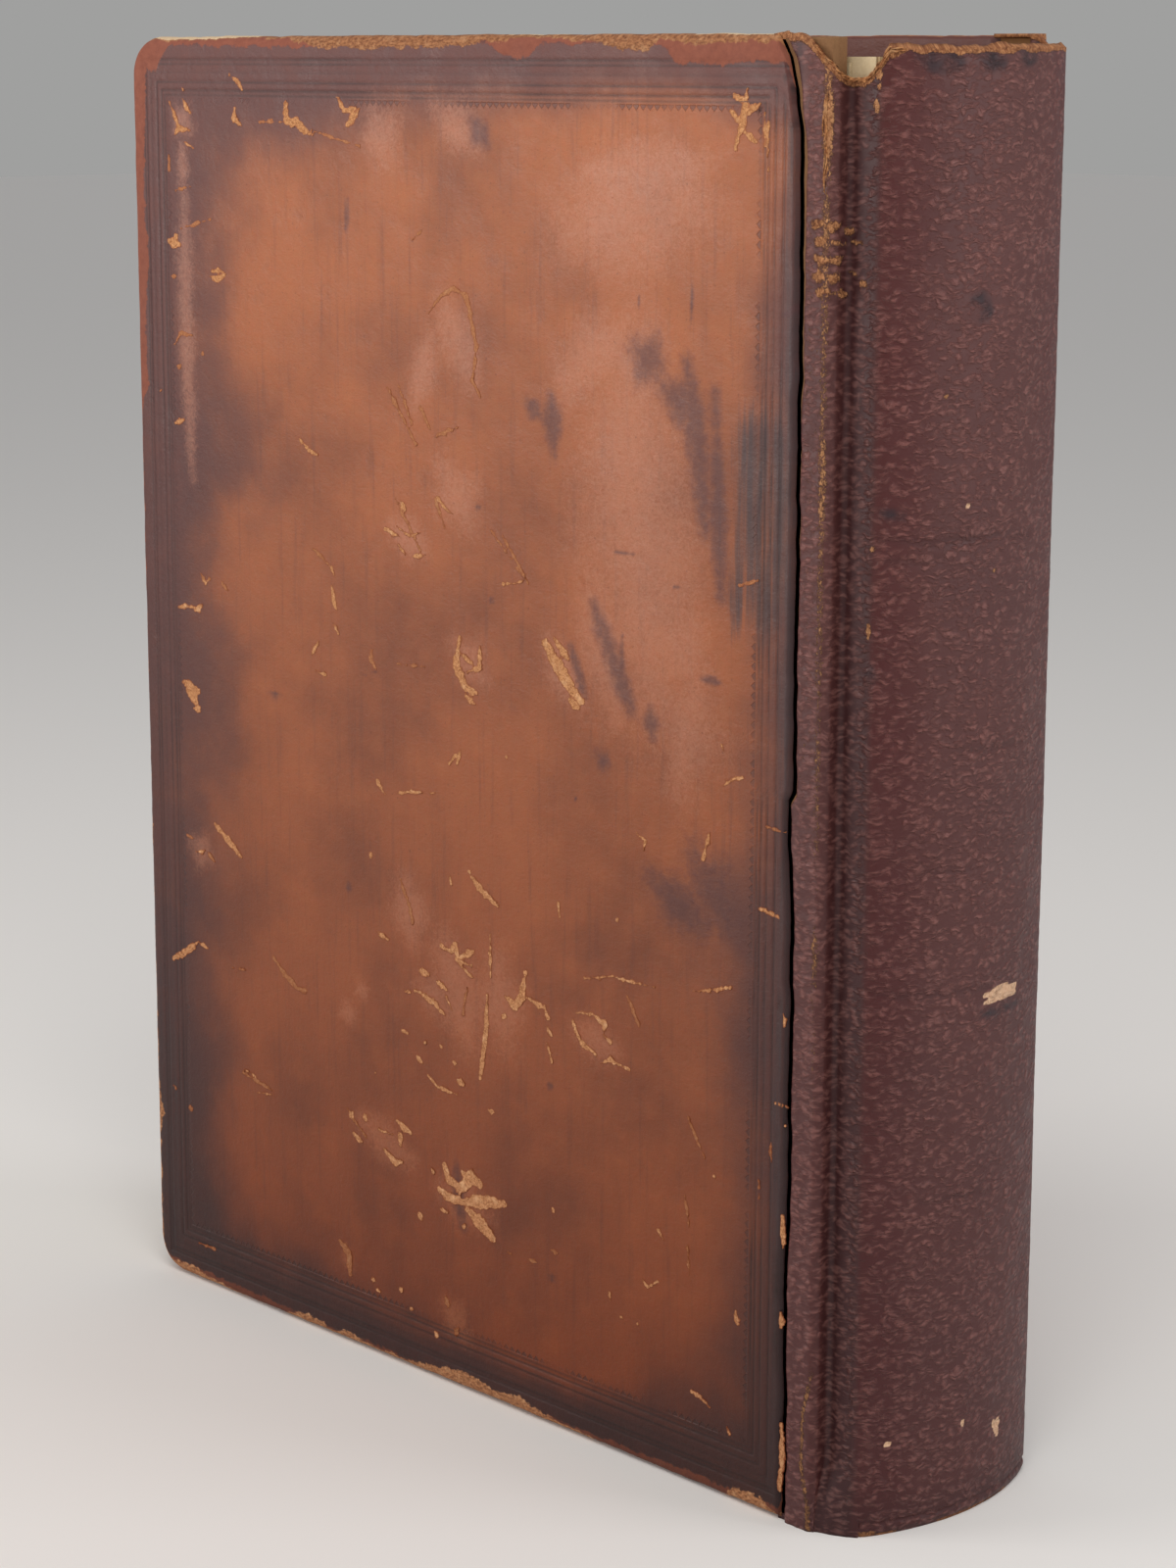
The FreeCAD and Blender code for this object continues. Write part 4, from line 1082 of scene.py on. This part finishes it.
def joint_cover(name, side, seed, worn, material):
    """The leather that crosses a hinge: under the calf, over the ridge and through the groove."""
    ends = np.array([0, 0.6, 0.8])
    z_row = np.concatenate([ends, np.linspace(1.2, height - 1.2, 560), height - ends[::-1]])
    edge = ridge_x - calf_edge(z_row, worn)
    x, y, back_x, back_y, ridge_column, on_board = joint_section(edge, crack_gap(z_row, worn))
    step = np.hypot(np.diff(x, axis=1), np.diff(y, axis=1))
    s = np.concatenate([np.zeros((len(z_row), 1)), np.cumsum(step, 1)], 1)
    s = s - s[:, [-1 - len(PAST_SHOULDER)]]
    top = head_line(s) if worn else height - smooth(s, -5, -1) * (height - spine_top)
    z = z_row[:, None] * top / height

    from_ridge = s[:, [ridge_column]] - s
    dip = smooth(z, 15, 1) * 0.85 * through(x - ridge_x, (-1, 0), (0, 1), (5.4, 1), (6.6, 0))
    bridge = through(x - ridge_x, (-1, 27.1), (0, 26.9), (1.3, 26.3), (3, 25.65), (4.5, 24.7),
                     (6.1, 23.7), (7.5, 22.9))
    y = np.where(y < bridge, y + (bridge - y) * dip, y)
    band = smooth(from_ridge, 6.0, 4.6) * smooth(from_ridge, -2.6, -0.4)
    coarse = 1 - np.abs(noise(s * 0.45, z, 0.95, seed)) * 2
    wrinkle = 0.13 * coarse + 0.06 * noise(s, z, 0.7, seed + 2)
    wrinkle = band * wrinkle * (0.55 + 0.45 * smooth(z, 90, 170))
    fine = 0.05 * layered(s * 0.6, z * 1.2, 1.5, seed + 4) * smooth(s, 0.6, -1.5)
    lumps = strokes(from_ridge, z, RIDGE_PATCH if worn else [])
    patch = smooth(lumps + 0.8 * layered(s, z * 0.7, 1.1, seed + 6), -0.75, 0.35)
    knots = patch * (0.24 * (1 - np.abs(noise(s, z, 1.3, seed + 8)) * 2) + 0.12)
    out = wrinkle + fine + knots
    out[:, :5] = 0
    tuck = np.zeros(x.shape[1])
    tuck[-3:] = (0.02, -0.06, -0.16)
    out = out + tuck + 0.03 * smooth(s, -0.4, 0.1)
    run_x, run_y = np.gradient(x, axis=1), np.gradient(y, axis=1)
    run = np.maximum(np.hypot(run_x, run_y), 1e-6)
    skin_x = x - run_y / run * out
    skin_y = np.minimum(y + run_x / run * out, outer_y + FACE_LIMIT)

    at_end = z_row < 0.7
    if not worn:
        at_end |= z_row > height - 0.7
    back_y[at_end, :on_board] = turn_in_y + 0.02
    points, faces = shell(np.stack([skin_x, side * skin_y, z], -1),
                          np.stack([back_x, side * back_y, z], -1))

    red, dark, stain, rub, chip = leather_fields(s, z, SPINE_SEED, worn)
    # Painted shade where the ridge turns down into the groove
    dark = np.maximum(dark, smooth(from_ridge, -2.4, -4.0) * smooth(s, 1.5, 0.0))
    # Painted shade in the crack and under the calf's edge
    dark = np.maximum(dark * (from_ridge < 1), smooth(from_ridge, 6.0, 7.0) * 0.9)
    strength = 0.12
    if worn:
        strength = through(z, (0, 0.4), (31, 0.38), (34, 0.2), (92, 0.42), (106, 0.6), (112, 0.34),
                           (130, 0.55), (150, 0.64), (200, 0.68), (236, 0.66), (240, 0.9), (253, 1.0))
        strength = np.maximum(strength, 0.75 * smooth(z, 33, 29))
    streak_place = through(z, (0, 0.2), (5, 0.4), (12, 2.0), (22, 1.7), (31, -0.3), (60, 0.8), (260, 0.7))
    streak_width = through(z, (0, 1.0), (30, 0.9), (34, 1.3), (260, 1.9))
    streak = smooth(np.abs(from_ridge - streak_place), streak_width, 0.2)
    rub = np.maximum(rub, streak * strength * (0.75 + 0.35 * layered(s, z, 7, seed + 12)))
    # A pale wash over the wrinkled band is a painted highlight
    rub = np.maximum(rub, band * 0.16)
    raw = np.maximum(patch * 0.62, smooth(top - z, 2.0, 0.5) if worn else 0.8 * smooth(top - z, 1.6, 0.3))
    grain = np.maximum(0.85 * smooth(s, -2.5, 0.5), 0.35 * band) + 0.1
    # More painted highlight on the wrinkles, strongest higher up
    light = band * (0.25 + 0.75 * smooth(z, 100, 150)) * smooth(from_ridge, 0.8, 2.4)
    rub = np.clip(rub + 0.12 * light, 0, 1)
    return piece(name, points, outward(faces, side), material, "spine_leather",
                 flat=np.tile(skin_map(s, z), (2, 1)), rise=twice(np.clip(z / height, 0, 1)),
                 red=twice(red), dark=twice(np.clip(dark, 0, 1)), stain=twice(stain), rub=twice(rub),
                 chip=twice(chip * (s > -3)), raw=twice(raw), grain=twice(grain))


def tube(path, radii, sides=6):
    """A closed tube with pointed ends along a path of points."""
    path = np.asarray(path, float)
    ahead = np.gradient(path, axis=0)
    ahead /= np.linalg.norm(ahead, axis=1)[:, None]
    across = np.cross(ahead, (0.31, 0.86, 0.4))
    across /= np.linalg.norm(across, axis=1)[:, None]
    third = np.cross(ahead, across)
    turn = np.linspace(0, 2 * math.pi, sides, endpoint=False)
    ring = np.cos(turn)[None, :, None] * across[:, None] + np.sin(turn)[None, :, None] * third[:, None]
    points = (path[:, None] + ring * np.asarray(radii)[:, None, None]).reshape(-1, 3)
    faces = [list(f) for f in quads(len(path), sides, wrap=True)]
    faces.append(list(range(sides))[::-1])
    faces.append([len(points) - sides + n for n in range(sides)])
    return points, faces


def merged(parts):
    """Several point and face lists as one."""
    points, faces, count = [], [], 0
    for part_points, part_faces in parts:
        points.append(part_points)
        faces += [[i + count for i in f] for f in part_faces]
        count += len(part_points)
    return np.concatenate(points), faces


def tear_fibres(material):
    """Curled fibres along the tear at the rear joint's head and down the ridge's worn line."""
    rng = np.random.default_rng(7)
    tear_start, tear_length = -13.6, 17.2
    ridge_s, worn_top, worn_length = -10.0, 251.5, 14
    strands = []
    for share in np.linspace(0, 1, 46):
        s0 = tear_start + tear_length * share + rng.normal(0, 0.25)
        run = 1.4 + 2.4 * rng.random()
        lean = rng.normal(0.25, 0.35)
        t = np.linspace(0, 1, 8)
        s = s0 + run * t
        z = head_line(s) - 0.25 + 0.5 * np.sin(t * math.pi) * lean + rng.normal(0, 0.22)
        x, y = joint_place(s)
        proud = 0.12 + 0.34 * np.sin(t * math.pi) * rng.random()
        radius = (0.07 + 0.12 * rng.random()) * np.sin(np.clip(t, 0.06, 0.94) * math.pi)
        strands.append(tube(np.stack([x + proud * 0.5, -(y + proud * 0.7), z], -1), radius))
    for _ in range(16):
        z0 = worn_top - worn_length * rng.random()
        run = 3 + 4.5 * rng.random()
        t = np.linspace(0, 1, 10)
        z = z0 - run * t
        s = ridge_s + 0.35 * rng.normal() + 0.35 * np.sin(t * 5 + rng.random() * 6) * rng.random()
        x, y = joint_place(s)
        radius = (0.08 + 0.12 * rng.random()) * np.sin(np.clip(t, 0.06, 0.94) * math.pi)
        strands.append(tube(np.stack([x + 0.08, -(y + 0.12), z], -1), radius))
    points, faces = merged(strands)
    return piece("rear_joint_fibres", points, faces, material, "spine_leather")


def joint_place(s):
    """Place on the joint leather's outer face, at a length s before the shoulder."""
    lengths = [0, 4.4, 5.97, 7.37, 9.88, 16.2]
    path = [(shoulder_x, floor_y), (ridge_x + GROOVE_FILLET, floor_y), (ridge_x, floor_y + GROOVE_FILLET),
            (ridge_x, strip_y - RIDGE_RADIUS), (ridge_x - RIDGE_RADIUS, strip_y),
            (ridge_x - RIDGE_RADIUS - 6.3, strip_y)]
    x = np.interp(-s, lengths, [p[0] for p in path])
    y = np.interp(-s, lengths, [p[1] for p in path])
    beyond = on_spine(np.maximum(s, 0))
    return np.where(s > 0, beyond[0], x), np.where(s > 0, -beyond[1], y)


goatskin = goatskin_finish()
fibres = fibre_finish()
spine_cover_piece = spine_cover(goatskin)
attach(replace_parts(spine_cover_piece, "spine_leather"), "block")
for side, place, worn in ((-1, "rear", True), (1, "front", False)):
    joint = joint_cover(place + "_joint_cover", side, 71 + side, worn, goatskin)
    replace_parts(joint, place + "_joint_leather")
    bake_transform(joint)
fibre_piece = tear_fibres(fibres)
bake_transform(fibre_piece)


# Finishes of the leaves, boards, papers, bands and cords, which keep their own shapes

def leaves_finish():
    """Browned leaf edges: fine lines that run round the block, one for every few leaves."""
    f = Finish("leaf_edges", roughness=0.9, specular=0.15)
    place = f.place()
    lines = f.noise(f.stretch(place, (0.02, 4.5, 0.02)), 1.0, 4, 0.7)
    gatherings = f.noise(f.stretch(place, (0.01, 0.45, 0.01)), 1.0, 2, 0.5)
    cloud = f.noise(place, 22, 4, 0.6)
    tone = f.mix(f.ramp(cloud, 0.2, 0.8), srgb(196, 168, 126), srgb(210, 186, 146))
    tone = f.mix(f.ramp(lines, 0.56, 0.36, 0, 0.75), tone, srgb(128, 96, 62))
    tone = f.mix(f.ramp(gatherings, 0.45, 0.3, 0, 0.4), tone, srgb(146, 112, 76))
    return f.done(tone, 0.9, f.bump(f.plus(lines, f.times(gatherings, 0.7)), 0.25))


def paper_finish(name, pale, brown):
    """Old paper or pasteboard: cloudy browning, a few spots and a fine fibre."""
    f = Finish(name, roughness=0.9, specular=0.15)
    place = f.place()
    fibre = f.noise(place, 0.6, 3, 0.6)
    tone = f.mix(f.ramp(f.noise(place, 70, 2, 0.4), 0.25, 0.75, 0, 0.3), pale, brown)
    tone = f.mix(f.ramp(fibre, 0.4, 0.7, 0, 0.2), tone, brown)
    tone = f.mix(f.ramp(f.noise(place, 3.5, 2), 0.7, 0.78, 0, 0.3), tone, srgb(140, 102, 64))
    return f.done(tone, 0.9, f.bump(fibre, 0.06))


def thread_finish(name, turn_mm, pale, brown):
    """Thread or hemp wound closely round a core that runs across the book."""
    f = Finish(name, roughness=0.85, specular=0.2)
    place = f.place()
    turns = f.math("SINE", f.times(f.part(place, "Y"), 2 * math.pi / turn_mm))
    tone = f.mix(f.ramp(turns, -0.8, 0.6), brown, pale)
    tone = f.mix(f.ramp(f.noise(place, 4, 3), 0.4, 0.7, 0, 0.4), tone, brown)
    return f.done(tone, 0.85, f.bump(turns, 0.12))


pasteboard = paper_finish("pasteboard", srgb(140, 104, 72), srgb(96, 66, 46))
endpaper = paper_finish("endpaper", srgb(220, 202, 166), srgb(190, 162, 120))
lining = paper_finish("lining_paper", srgb(190, 168, 132), srgb(150, 122, 88))
band_thread = thread_finish("band_thread", 0.7, srgb(206, 186, 150), srgb(138, 104, 72))
cord_hemp = thread_finish("cord_hemp", 1.1, srgb(190, 168, 126), srgb(132, 104, 70))
node_finishes = {
    "text_block": leaves_finish(), "sewing_cords": cord_hemp, "spine_lining": lining,
    "spine_hollow": lining, "head_band": band_thread, "tail_band": band_thread,
    "rear_flyleaf": endpaper, "front_flyleaf": endpaper, "rear_pastedown": endpaper,
    "front_pastedown": endpaper, "rear_board": pasteboard, "front_board": pasteboard,
}
for node, finish in node_finishes.items():
    for holder in bpy.data.objects[node].material_slots:
        holder.material = finish


# Floor, light and camera

def soft_light(name, place, target, size, watts, tint):
    """A wide soft lamp, in metres, turned towards a target."""
    data = bpy.data.lights.new(name, "AREA")
    data.shape = "RECTANGLE"
    data.size, data.size_y = size
    data.energy = watts
    data.color = tint
    lamp = bpy.data.objects.new(name, data)
    bpy.context.scene.collection.objects.link(lamp)
    lamp.location = place
    lamp.rotation_euler = (Vector(target) - Vector(place)).to_track_quat("-Z", "Y").to_euler()


def studio():
    """A pale floor, a grey backdrop and three soft lamps."""
    floor_finish = Finish("pale_floor", roughness=0.9, specular=0.1)
    floor_finish.done(srgb(238, 237, 234))
    reach = 6.0
    mesh = bpy.data.meshes.new("floor")
    mesh.from_pydata([(-reach, -reach, 0), (reach, -reach, 0), (reach, reach, 0), (-reach, reach, 0)], [],
                     [(0, 1, 2, 3)])
    mesh.materials.append(floor_finish.material)
    floor = bpy.data.objects.new("floor", mesh)
    bpy.context.scene.collection.objects.link(floor)
    world = bpy.data.worlds.new("soft_room")
    bpy.context.scene.world = world
    world.use_nodes = True
    tree = world.node_tree
    sky = tree.nodes["Background"]
    sky.inputs["Color"].default_value = srgb(228, 227, 228)
    sky.inputs["Strength"].default_value = 0.54
    backdrop = tree.nodes.new("ShaderNodeBackground")
    backdrop.inputs["Color"].default_value = srgb(160, 160, 159)
    backdrop.inputs["Strength"].default_value = 1.0
    rays = tree.nodes.new("ShaderNodeLightPath")
    chosen = tree.nodes.new("ShaderNodeMixShader")
    tree.links.new(rays.outputs["Is Camera Ray"], chosen.inputs[0])
    tree.links.new(sky.outputs[0], chosen.inputs[1])
    tree.links.new(backdrop.outputs[0], chosen.inputs[2])
    tree.links.new(chosen.outputs[0], tree.nodes["World Output"].inputs["Surface"])
    soft_light("window", (-0.62, -0.85, 0.34), (0.02, -0.03, 0.17), (0.5, 0.42), 4.5, (1.0, 0.93, 0.9))
    soft_light("overhead", (0.55, -0.55, 1.15), (0.05, 0.0, 0.12), (0.7, 0.7), 6.5, (1.0, 0.97, 0.93))
    soft_light("far_side", (0.95, 0.5, 0.45), (0.1, 0.0, 0.14), (0.5, 0.6), 3.5, (1.0, 0.94, 0.95))


def camera():
    """The photograph's viewpoint: the rear board's joint edge towards the camera."""
    place = Vector((0.4679, -0.4465, 0.2552))
    pitch, roll = math.radians(11.97), math.radians(0.12)
    heading = Vector((-0.7213, 0.6927, 0.0))
    ahead = heading * math.cos(pitch) - Vector((0.0, 0.0, math.sin(pitch)))
    data = bpy.data.cameras.new("camera")
    data.sensor_width = 36.0
    data.lens = 78.28
    data.clip_start, data.clip_end = 0.02, 30.0
    seen = bpy.data.objects.new("camera", data)
    bpy.context.scene.collection.objects.link(seen)
    seen.matrix_world = Matrix.Translation(place) @ ahead.to_track_quat("-Z", "Y").to_matrix().to_4x4() \
        @ Matrix.Rotation(roll, 4, "Z")
    bpy.context.scene.camera = seen


studio()
camera()
bpy.context.scene.view_settings.view_transform = "Standard"

bpy.context.view_layer.update()
